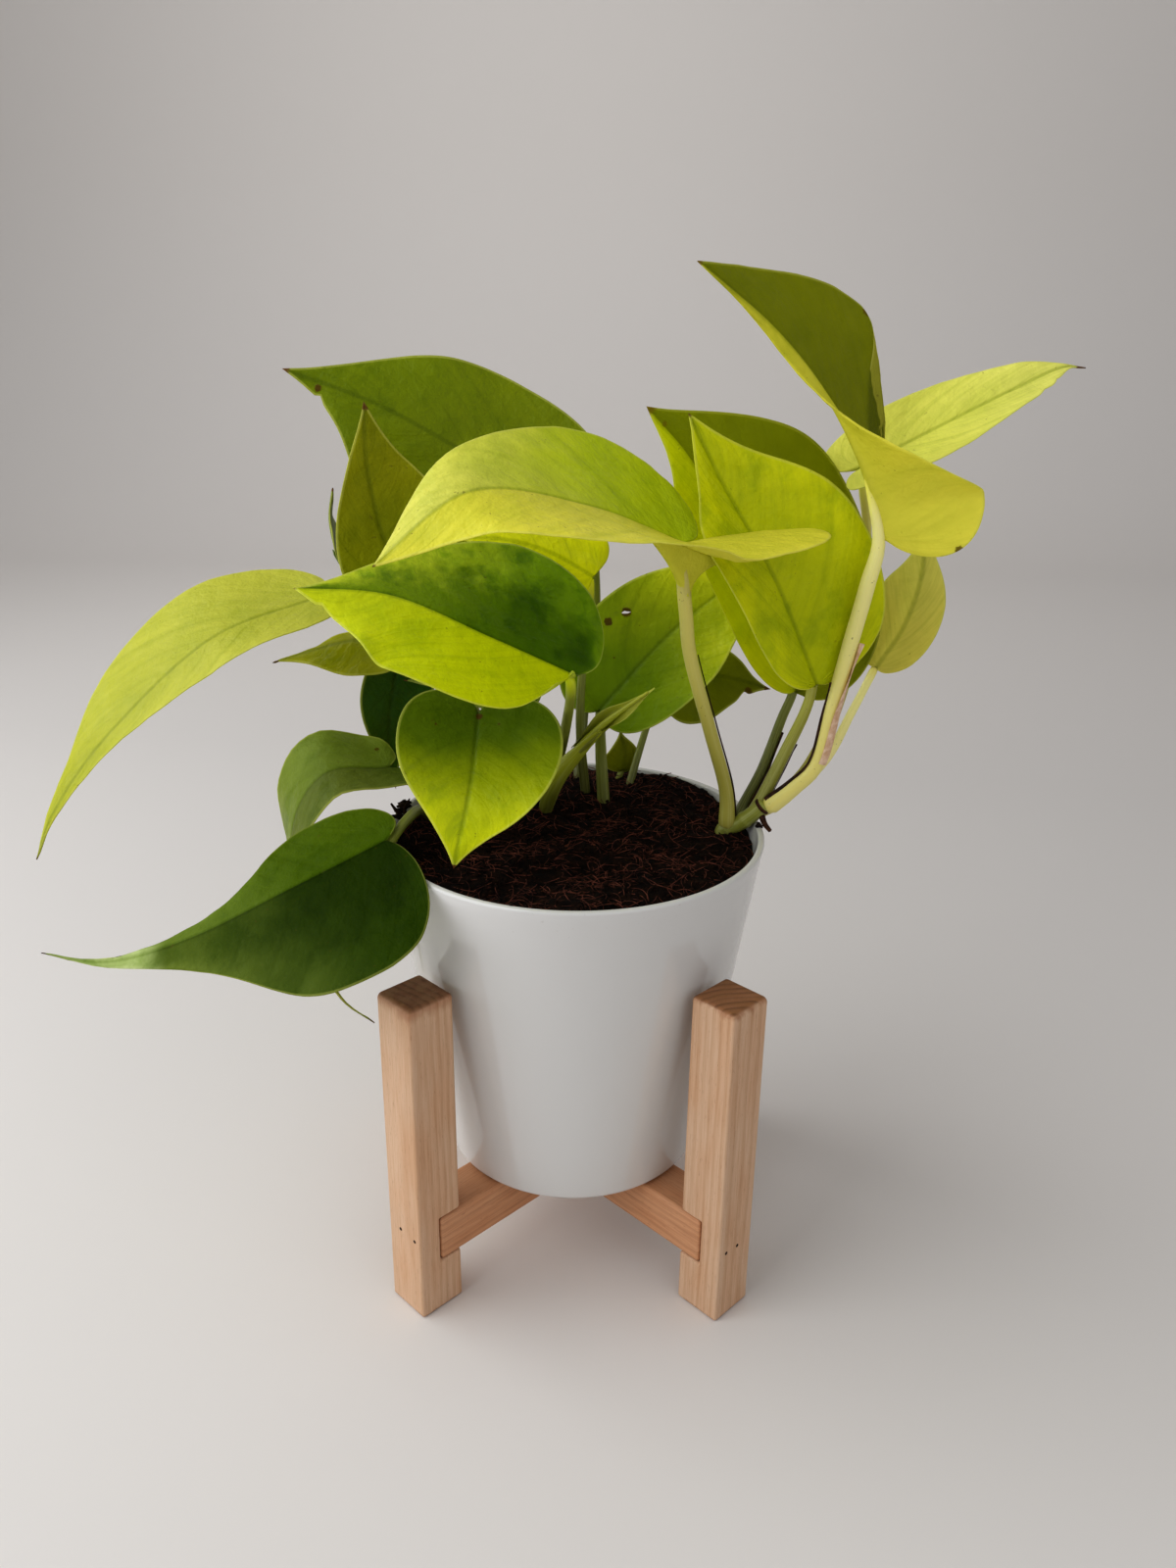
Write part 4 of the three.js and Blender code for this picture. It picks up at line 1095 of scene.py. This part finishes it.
class LeafLooks(bpy.types.PropertyGroup):
    """Thickness, relief and sheen of the blades."""

    thickness: length_field("Blade thickness", "Thickness of a blade away from its margin", 0.0006)
    rib_groove: length_field("Midrib groove", "Depth of the midrib's groove on the upper face", 0.0003)
    rib_keel: length_field("Midrib keel", "Height of the midrib's keel on the underside", 0.0009)
    quilting: length_field("Quilting", "Rise of the blade between two side veins", 0.00009)
    creasing: length_field("Creasing", "Height of the blade's soft uneven relief", 0.00028)
    side_veins: FloatProperty(name="Side veins", description="Side veins on each half", default=12.0, min=1)
    roughness: share_field("Roughness", "Roughness of the waxy upper face", 0.36)
    translucency: share_field("Translucency", "Share of light that goes through", 0.35)
    underside: colour_field("Underside", "Colour of the paler underside", 0xB4C05A)


class StageLooks(bpy.types.PropertyGroup):
    """Floor, backdrop and lamps."""

    floor_colour: colour_field("Floor", "Colour of the plain floor and backdrop", 0xE2DEDA)
    key_power: power_field("Key lamp", "Power of the large lamp at the left", 6.75)
    fill_power: power_field("Fill lamp", "Power of the lamp beside the eye", 0.6)
    wall_power: power_field("Wall lamp", "Power of the lamp that lights the backdrop", 1.8)


GROUPS = dict(stand_looks=StandLooks, pot_looks=PotLooks, soil_looks=SoilLooks, leaf_looks=LeafLooks,
              stage_looks=StageLooks)


# Operators

class PLANT_OT_stage(bpy.types.Operator):
    """Lay the floor and backdrop, hang the lamps and set up the camera"""

    bl_idname = "plant.stage"
    bl_label = "Stage"

    def execute(self, context):
        looks = context.scene.stage_looks
        self.camera(context.scene)
        self.floor(looks)
        self.lamp("key_lamp", (-660, -130, 540), (0, 0, 110), 1.3, looks.key_power, (0.97, 0.985, 1.0))
        self.lamp("fill_lamp", (420, -560, 420), (0, 0, 130), 0.7, looks.fill_power, (1.0, 0.99, 0.98))
        self.lamp("wall_lamp", (-150, 620, 900), (0, 1700, 700), 0.8, looks.wall_power, (1.0, 0.98, 0.96))
        world = bpy.data.worlds.new("studio")
        context.scene.world = world
        world.use_nodes = True
        inputs = world.node_tree.nodes["Background"].inputs
        inputs["Color"].default_value = rgba(0xF4F4F6)
        inputs["Strength"].default_value = 0.38
        context.scene.view_settings.view_transform = "Standard"
        context.scene.view_settings.look = "Medium High Contrast"
        return {"FINISHED"}

    def camera(self, scene):
        data = bpy.data.cameras.new("eye")
        data.lens = data.sensor_width * EYE_FOCAL / FRAME_SIZE[1]
        data.clip_start = 0.01
        eye = linked("eye", data)
        tilt = Matrix.Rotation(math.pi / 2 - EYE_PITCH, 4, "X") @ Matrix.Rotation(EYE_ROLL, 4, "Z")
        eye.matrix_world = Matrix.Translation(Vector((EYE + STAND_AXIS) * MM)) @ tilt
        scene.camera = eye

    def floor(self, looks):
        """A floor that turns up into a backdrop."""
        bend, far, high = 0.5, 1.1, 2.6
        profile = [(-2.5, 0.0), (far, 0.0)]
        profile += [(far + bend * math.sin(a), bend * (1 - math.cos(a)))
                    for a in np.linspace(0.1, math.pi / 2, 14)]
        profile.append((far + bend, high))
        points = [(x, y, z) for y, z in profile for x in (-3.0, 3.0)]
        faces = [(2 * i, 2 * i + 1, 2 * i + 3, 2 * i + 2) for i in range(len(profile) - 1)]
        mesh = bpy.data.meshes.new("floor")
        mesh.from_pydata(points, [], faces)
        mesh.polygons.foreach_set("use_smooth", [True] * len(faces))
        floor = linked("floor", mesh)
        p = Paint("floor")
        p.set(Base_Color=(*looks.floor_colour, 1.0), Roughness=0.55, Specular_IOR_Level=0.3)
        mesh.materials.append(p.material)

    def lamp(self, name, place, target, size, power, colour):
        data = bpy.data.lights.new(name, "AREA")
        data.shape = "DISK"
        data.size = size
        data.energy = power
        data.color = colour
        lamp = linked(name, data)
        start = Vector(place) * MM
        turn = (Vector(target) * MM - start).to_track_quat("-Z", "Y")
        lamp.matrix_world = Matrix.Translation(start) @ turn.to_matrix().to_4x4()


class PLANT_OT_stand(bpy.types.Operator):
    """Make the four legs and the two halved crossbars"""

    bl_idname = "plant.stand"
    bl_label = "Stand"

    # Each leg's brads, through its outer face into the bar: mm across and up.
    BRADS = dict(leg_front_left=((-1.9, 27.8), (4.8, 27.3)), leg_front_right=((-4.2, 24.1), (0.9, 23.8)),
                 leg_back_right=((-2.5, 26.0), (2.6, 23.5)), leg_back_left=((-3.0, 24.5), (2.2, 26.5)))

    # Each leg's bearing from the stand's axis, then its pith's bearing and distance from the leg.
    LEGS = dict(leg_front_left=(225, 232, 70), leg_front_right=(315, 285, 80), leg_back_right=(45, 20, 60),
                leg_back_left=(135, 150, 75))

    def execute(self, context):
        looks = context.scene.stand_looks
        iron = dry_material("brad_iron", 0x241A14, 0x4A3A30)
        for name, (degrees, pith_at, pith_out) in self.LEGS.items():
            low, high = box_mm(name)
            pith = (low + high) / 2 + pith_out * level_ways(pith_at)[0]
            stain = name == "leg_front_left"
            wood = wood_material(name, (*looks.leg_colour, 1.0), 0xB0835A, (0, 0, 0), pith, high[2], stain)
            self.prism(name, self.leg_outline(name), degrees, looks, wood, "leg_wood")
            self.brads(name, degrees, iron)
        for name, degrees, above in (("crossbar_lower", 45, True), ("crossbar_upper", -45, False)):
            lay = Matrix.Rotation(math.radians(-90), 3, "Y") @ Matrix.Rotation(math.radians(-degrees), 3, "Z")
            pith = STAND_AXIS + np.array([0, 0, BAR_PITH])
            wood = wood_material(name, (*looks.bar_colour, 1.0), 0x9A6644, lay.to_euler("XYZ"), pith)
            self.prism(name, self.bar_outline(above), degrees, looks, wood, "crossbar_wood")
        return {"FINISHED"}

    def leg_reach(self, name):
        """How far the middle of a leg stands from the stand's axis."""
        low, high = box_mm(name)
        return math.hypot(*((low + high)[:2] / 2 - STAND_AXIS[:2]))

    def leg_outline(self, name):
        """A leg seen from the side: x is the way out from the stand's axis."""
        top, out = box_mm(name)[1][2], self.leg_reach(name)
        inner, outer = out - LEG_HALF, out + LEG_HALF
        bar_low, bar_high = box_mm("crossbar_upper")
        sill, head = bar_low[2] - HOUSING_GAP, bar_high[2] + HOUSING_GAP
        return [(inner, 0), (outer, 0), (outer, top), (inner, top), (inner, head), (out, head), (out, sill),
                (inner, sill)]

    def brads(self, name, degrees, iron):
        """The heads of the brads, flush with the leg's outer face."""
        out, across = level_ways(degrees)
        reach = self.leg_reach(name) + LEG_HALF
        bodies = []
        for side, up in self.BRADS[name]:
            head = out * reach + across * side + np.array([0, 0, up])
            pin = Curve([head - out * 2.5, head - out * 1.2, head + out * 0.05])
            bodies.append((tube(pin, lambda t: 0.55, 3, 12), 0))
        keep(joined(name + "_brads", bodies, [iron]), "leg_wood")

    def bar_outline(self, above):
        """A bar seen from the side, half cut away at the crossing, above or below."""
        low, high = (corner[2] for corner in box_mm("crossbar_upper"))
        end, notch, middle = BAR_REACH, HALVING, (low + high) / 2
        if above:
            cut = middle - HALVING_GAP
            return [(-end, low), (end, low), (end, high), (notch, high), (notch, cut), (-notch, cut),
                    (-notch, high), (-end, high)]
        cut = middle + HALVING_GAP
        return [(-end, low), (-notch, low), (-notch, cut), (notch, cut), (notch, low), (end, low),
                (end, high), (-end, high)]

    def prism(self, name, outline, degrees, looks, wood, slot):
        """A leg or bar from its outline, with its upper and outer edges worn most."""
        half = looks.side / MM / 2
        out, across = level_ways(degrees)
        up = np.array([0, 0, 1.0])
        points = [out * x + across * w + up * z for w in (-half, half) for x, z in outline]
        n = len(outline)
        faces = [tuple(range(n)), tuple(range(2 * n - 1, n - 1, -1))]
        faces += [(k, k + n, (k + 1) % n + n, (k + 1) % n) for k in range(n)]
        piece = mesh_object(name + "_wood", points, faces, [wood])
        far, top = (max(values) for values in zip(*outline))
        high = {k for k in range(2 * n) if outline[k % n][1] == top}
        outer = {k for k in high if outline[k % n][0] == far} if slot == "leg_wood" else set()
        wear = piece.data.attributes.new("bevel_weight_edge", "FLOAT", "EDGE")
        for edge, weight in zip(piece.data.edges, wear.data):
            ends = set(edge.vertices)
            weight.value = 1.0 if ends <= outer else 0.7 if ends <= high else 0.45
        bevel = piece.modifiers.new("sanded", "BEVEL")
        bevel.width, bevel.segments, bevel.limit_method = looks.edge, 4, "WEIGHT"
        bevel.harden_normals = True
        keep(plain_mesh(piece), slot, name)


class PLANT_OT_pot(bpy.types.Operator):
    """Turn the pot"""

    bl_idname = "plant.pot"
    bl_label = "Pot"

    def execute(self, context):
        looks = context.scene.pot_looks
        base, rim = POT_BASE, (POT_HIGH[0] - POT_LOW[0]) / 2
        low, top, wall = POT_LOW[2], POT_HIGH[2], looks.wall / MM
        hollow, foot_round, bottom, lip, inner_lip = 0.8, 2.2, 2.4, 0.9, 0.7
        slope = (rim - base) / (top - low)
        inner = rim - wall
        inner_low = base - wall + 0.4
        floor = low + bottom

        def arc(cx, cz, r, start, end, steps=6):
            return [(cx + r * math.cos(a), cz + r * math.sin(a))
                    for a in np.radians(np.linspace(start, end, steps + 1))]

        profile = [(0, low + hollow), (base * 0.5, low + hollow), (base - 6, low + 0.7), (base - 4.5, low)]
        profile += arc(base - foot_round, low + foot_round, foot_round, -90, -8)
        for share in np.linspace(0.08, 0.96, 12):
            z = low + share * (top - low)
            profile.append((base + slope * (z - low), z))
        profile += arc(rim - lip, top - lip, lip, 0, 90)
        profile += arc(inner + inner_lip, top - inner_lip, inner_lip, 90, 180)
        for share in np.linspace(0.95, 0.05, 8):
            z = floor + share * (top - floor)
            profile.append((inner_low + (z - floor) / (top - floor) * (inner - inner_low), z))
        profile += [(inner_low - 1.5, floor), (0, floor)]
        keep(self.lathe(profile, looks.steps, pot_material(looks)), "pot_plastic", "pot")
        return {"FINISHED"}

    def lathe(self, profile, steps, material):
        """The shell that a profile from axis to axis turns out."""
        inner = profile[1:-1]
        points = [point for r, z in inner for point in circle(r, z, steps)]
        ends = len(points)
        points += [(0, 0, profile[0][1]), (0, 0, profile[-1][1])]
        faces = grid_faces(len(inner), steps, close=True)
        faces += fan(ends, 0, steps, turned=True) + fan(ends + 1, ends - steps, steps)
        piece = mesh_object("pot_shell", points, faces, [material])
        piece.data.set_sharp_from_angle(angle=math.radians(40))
        return piece


class PLANT_OT_soil(bpy.types.Operator):
    """Fill the pot with potting mix and scatter fibres and crumbs on it"""

    bl_idname = "plant.soil"
    bl_label = "Soil"

    def execute(self, context):
        looks = context.scene.soil_looks
        low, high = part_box("soil")
        reach = (high.x - low.x) / 2 / MM
        keep(self.body(reach, low.z / MM, soil_material("soil_mix", 0x120B08, 0x2A1911)), "soil", "soil")
        top = self.surface(reach - 1.2)
        fibre = dry_material("coir_fibre", 0x321A14, 0x885040)
        crumb = soil_material("soil_crumbs", 0x140C08, 0x362218)
        scattered("coir_fibres", top, fibre_tree(), looks.fibres, looks.seed, fibre)
        scattered("soil_crumbs", top, crumb_tree(), looks.crumbs, looks.seed + 1, crumb)
        bpy.data.meshes.remove(top)
        self.rim_bits()
        return {"FINISHED"}

    def rim_bits(self):
        """Crumbs and dry ends that lie on the rim."""
        bodies = []
        for number, (bearing, out, size) in enumerate(RIM_BITS):
            centre = out * level_ways(bearing)[0] + np.array([0, 0, POT_HIGH[2] + 0.35 * size])
            bodies.append((lump(centre, size * np.array([1, 0.8, 0.6]), number), 0))
        for line, thick in DRY_ENDS:
            end = seen_curve(line)
            bodies.append((tube(end, lambda t, thick=thick: thick * (1 - 0.7 * t), 14, 7), 0))
        keep(joined("rim_crumbs", bodies, [dry_material("dry_crumbs", 0x140C08, 0x3A2418)]), "soil")

    @staticmethod
    def height(x, y):
        """The soil's top: swells, a bank at the back, a fall towards the rim, and clods."""
        swell = 0.9 * math.sin(x / 7 + 1.3) * math.cos(y / 6) + 0.7 * math.sin((x - 2 * y) / 11)
        back = min(1, max(0, (y + 5) / 45))
        bank = back**2 * (3 - 2 * back)
        z = SOIL_TOP - 0.4 + swell + 4.8 * bank - 0.6 * ((x * x + y * y) / 2600) ** 3
        clods = 1.3 * noise.noise((x / 5, y / 5, 3.0)) + 0.6 * noise.noise((x / 1.8, y / 1.8, 7.0))
        return z + clods

    def mound(self, reach, rings, steps):
        """The points of the soil's top, from the middle out."""
        points = [(0.0, 0.0, self.height(0, 0))]
        for i in range(1, rings + 1):
            points += [(x, y, self.height(x, y)) for x, y, _ in circle(reach * i / rings, 0, steps)]
        return points

    def mound_faces(self, rings, steps):
        return fan(0, 1, steps) + grid_faces(rings, steps, close=True, first=1, turned=True)

    def surface(self, reach):
        """The top of the soil alone, to scatter on."""
        rings, steps = 40, 120
        return mesh_data("soil_top", self.mound(reach, rings, steps), self.mound_faces(rings, steps))

    def body(self, reach, low, material):
        """The soil from its top down to the pot's floor."""
        rings, steps, foot = 70, 200, POT_BASE - SOIL_INSET
        points = self.mound(reach, rings, steps)
        points += circle(foot + 2, low + 2, steps) + circle(foot, low, steps) + [(0.0, 0.0, low)]
        last, end = 1 + (rings + 1) * steps, len(points) - 1
        faces = self.mound_faces(rings + 2, steps) + fan(end, last, steps, turned=True)
        return mesh_object("soil_body", points, faces, [material])


# Scattering with Geometry Nodes

class Tree(Nodes):
    """A geometry node tree with named inputs, built node by node."""

    def __init__(self, name, inputs):
        self.tree = bpy.data.node_groups.new(name, "GeometryNodeTree")
        self.tree.interface.new_socket("Geometry", in_out="INPUT", socket_type="NodeSocketGeometry")
        for key, kind in inputs.items():
            self.tree.interface.new_socket(key, in_out="INPUT", socket_type=kind)
        self.tree.interface.new_socket("Geometry", in_out="OUTPUT", socket_type="NodeSocketGeometry")
        self.start = self.tree.nodes.new("NodeGroupInput")
        self.end = self.tree.nodes.new("NodeGroupOutput")

    def random(self, low, high, seed, kind="FLOAT_VECTOR"):
        made = self.node("FunctionNodeRandomValue", data_type=kind)
        first = 0 if kind == "FLOAT_VECTOR" else 2
        self.put(made, first, low)
        self.put(made, first + 1, high)
        self.put(made, "Seed", seed)
        return made.outputs[0 if kind == "FLOAT_VECTOR" else 1]

    def scatter(self, shape, turn_low, turn_high, size_low, size_high):
        """Puts copies of shape on the surface, turned and sized at random, as real mesh with its material."""
        inputs = self.start.outputs
        points = self.node("GeometryNodeDistributePointsOnFaces", {"Mesh": inputs["Geometry"],
                           "Density": inputs["Density"], "Seed": inputs["Seed"]})
        placed = self.node("GeometryNodeInstanceOnPoints", {
            "Points": points.outputs["Points"], "Instance": shape,
            "Rotation": self.random(turn_low, turn_high, 11),
            "Scale": self.random(size_low, size_high, 12, "FLOAT")})
        real = self.node("GeometryNodeRealizeInstances", {"Geometry": placed.outputs[0]})
        painted = {"Geometry": real.outputs[0], "Material": inputs["Material"]}
        done = self.node("GeometryNodeSetMaterial", painted)
        self.put(self.end, "Geometry", done.outputs[0])
        return self.tree


SCATTER_INPUTS = {"Density": "NodeSocketFloat", "Seed": "NodeSocketInt", "Material": "NodeSocketMaterial"}


def fibre_tree():
    """Bent fibres lying on the soil."""
    t = Tree("coir_fibres", SCATTER_INPUTS)
    line = t.node("GeometryNodeCurveQuadraticBezier", {"Resolution": 5, "Start": (-0.0032, 0, 0.0002),
                  "Middle": (0.0, 0.0022, 0.0011), "End": (0.0035, -0.0004, 0.0001)})
    section = t.node("GeometryNodeCurvePrimitiveCircle", {"Resolution": 4, "Radius": 0.00011})
    body = t.node("GeometryNodeCurveToMesh", {
        "Curve": line.outputs[0], "Profile Curve": section.outputs["Curve"], "Fill Caps": True})
    return t.scatter(body.outputs[0], (-0.45, -0.45, 0.0), (0.45, 0.45, math.tau), 0.35, 1.25)


def crumb_tree():
    """Angular crumbs of soil."""
    t = Tree("soil_crumbs", SCATTER_INPUTS)
    ball = t.node("GeometryNodeMeshIcoSphere", {"Radius": 0.0006, "Subdivisions": 1})
    rough = t.node("ShaderNodeTexNoise", {"Scale": 1400.0, "Detail": 1.0})
    push = t.node("ShaderNodeVectorMath", {0: rough.outputs["Color"], 1: (0.0006, 0.0006, 0.0003)},
                  operation="MULTIPLY")
    lump = t.node("GeometryNodeSetPosition", {"Geometry": ball.outputs["Mesh"], "Offset": push.outputs[0]})
    return t.scatter(lump.outputs[0], (0.0, 0.0, 0.0), (math.tau, math.tau, math.tau), 0.3, 1.5)


def scattered(name, surface, tree, density, seed, material):
    """A plain mesh piece made by running a tree on a surface."""
    holder = linked(name, surface.copy())
    grown = holder.modifiers.new("grown", "NODES")
    grown.node_group = tree
    values = {"Density": float(density), "Seed": seed, "Material": material}
    for item in tree.interface.items_tree:
        if item.in_out == "INPUT" and item.name in values:
            grown[item.identifier] = values[item.name]
    keep(plain_mesh(holder), "soil")


class PLANT_OT_leaves(bpy.types.Operator):
    """Grow the leaves that stand in the soil"""

    bl_idname = "plant.leaves"
    bl_label = "Leaves"

    def execute(self, context):
        looks = context.scene.leaf_looks
        slots = {row["node"]: row["material_slot"] for row in frame["record"]["subparts"]}
        for leaf in LEAVES:
            # These stalks take darker tones than the vine's: painted shade, for the shade in the middle of
            # the plant.
            keep(leaf_piece(leaf, looks, (0x8E9636, 0x5E602A)), slots[leaf["name"]], leaf["name"])
        return {"FINISHED"}


class PLANT_OT_vine(bpy.types.Operator):
    """Grow the creeping stem over the rim and its six leaves"""

    bl_idname = "plant.vine"
    bl_label = "Vine"

    def execute(self, context):
        looks = context.scene.leaf_looks
        for leaf in VINE_LEAVES:
            keep(leaf_piece(leaf, looks, (0xDCD272, 0xB0A84C)), "lime_leaf", "vine_right")
        self.stem()
        self.dry_bits()
        return {"FINISHED"}

    def stem(self):
        """The creeping stem with its nodes, the scar at its end and a stub of aerial root."""
        line = rooted_curve(VINE_STEM)

        def radius_at(t):
            rings = sum(math.exp(-(((t - at) / 0.025) ** 2)) for at in (0.5, 0.72))
            return VINE_STEM["thick"] * (0.94 + 0.1 * rings)

        body = [(tube(line, radius_at, 60, 18), 0)]
        body.append((tube(line, lambda t: VINE_STEM["thick"] * 1.07, 4, 18, first=0.955, last=0.985), 1))
        root = seen_curve(VINE_STEM["root"])
        body.append((tube(root, lambda t: 1.1 - 0.5 * t, 12, 8), 1))
        green = stalk_material("stem_green", 0x8E9238, 0x6E7230)
        keep(joined("vine_stem", body, [green, dry_material("stem_scar", 0x2E1A12, 0x5C3A22)]),
             "lime_leaf", "vine_right")

    def dry_bits(self):
        """Dry sheaths that cling to the stalks' feet."""
        paints = dict(black=dry_material("old_sheath", 0x1E120C, 0x4E3220),
                      tan=dry_material("young_sheath", 0xD0A884, 0xF0D4BC))
        leaves = {leaf["name"]: leaf for leaf in VINE_LEAVES}
        for name, paint, first, last, wide, turn, lift in DRY_SHEATHS:
            curve, _ = stalk_line(leaves[name])
            body = sheath(curve, stalk_radius(leaves[name]), first, last, wide, turn,
                          lambda run, lift=lift: lift * (0.1 + run))
            keep(joined(f"{name}_{paint}_sheath", [(body, 0)], [paints[paint]]), "lime_leaf", "vine_right")


class PLANT_OT_new_leaf(bpy.types.Operator):
    """Roll the new leaf into its spike"""

    bl_idname = "plant.new_leaf"
    bl_label = "New leaf"

    def execute(self, context):
        line = rooted_curve(SPIKE)

        def radius_at(t):
            return 1.3 + 1.1 * math.sin(math.pi * min(1, t * 1.15)) - 0.9 * t**3

        core = tube(line, lambda t: 0.8 * radius_at(t), 40, 14, last=0.97)

        def flare(run):
            return 1.6 * math.sin(math.pi * run) ** 1.5

        wrap = sheath(line, radius_at, 0.6, 1.0, 4.8, -1.1, flare, 30, 16)
        lower = sheath(line, radius_at, 0.12, 0.74, 4.6, 1.2, lambda run: 0.6 * (0.15 + run), 30, 14)
        green = stalk_material("new_leaf", 0xA6AC1E, 0x787C22)
        piece = joined("leaf_rolled_grown", [(core, 0), (wrap, 0), (lower, 0)], [green])
        keep(piece, "lime_leaf", "leaf_rolled")
        return {"FINISHED"}


OPERATORS = (PLANT_OT_stage, PLANT_OT_stand, PLANT_OT_pot, PLANT_OT_soil, PLANT_OT_leaves, PLANT_OT_vine,
             PLANT_OT_new_leaf)


class PLANT_PT_panel(bpy.types.Panel):
    """Lists the pieces and their sizes and colours"""

    bl_idname = "PLANT_PT_panel"
    bl_label = "Potted plant"
    bl_space_type = "VIEW_3D"
    bl_region_type = "UI"
    bl_category = "Plant"

    def draw(self, context):
        for made in OPERATORS:
            self.layout.operator(made.bl_idname)
        for key, group in GROUPS.items():
            box = self.layout.box()
            box.label(text=group.__doc__)
            for field in group.__annotations__:
                box.prop(getattr(context.scene, key), field)


def register():
    for made in (*GROUPS.values(), *OPERATORS, PLANT_PT_panel):
        bpy.utils.register_class(made)
    for key, group in GROUPS.items():
        setattr(bpy.types.Scene, key, PointerProperty(type=group))


def unregister():
    for key in GROUPS:
        delattr(bpy.types.Scene, key)
    for made in reversed((*GROUPS.values(), *OPERATORS, PLANT_PT_panel)):
        bpy.utils.unregister_class(made)


def main():
    register()
    for made in OPERATORS:
        group, name = made.bl_idname.split(".")
        getattr(getattr(bpy.ops, group), name)()


if __name__ == "__main__":
    main()
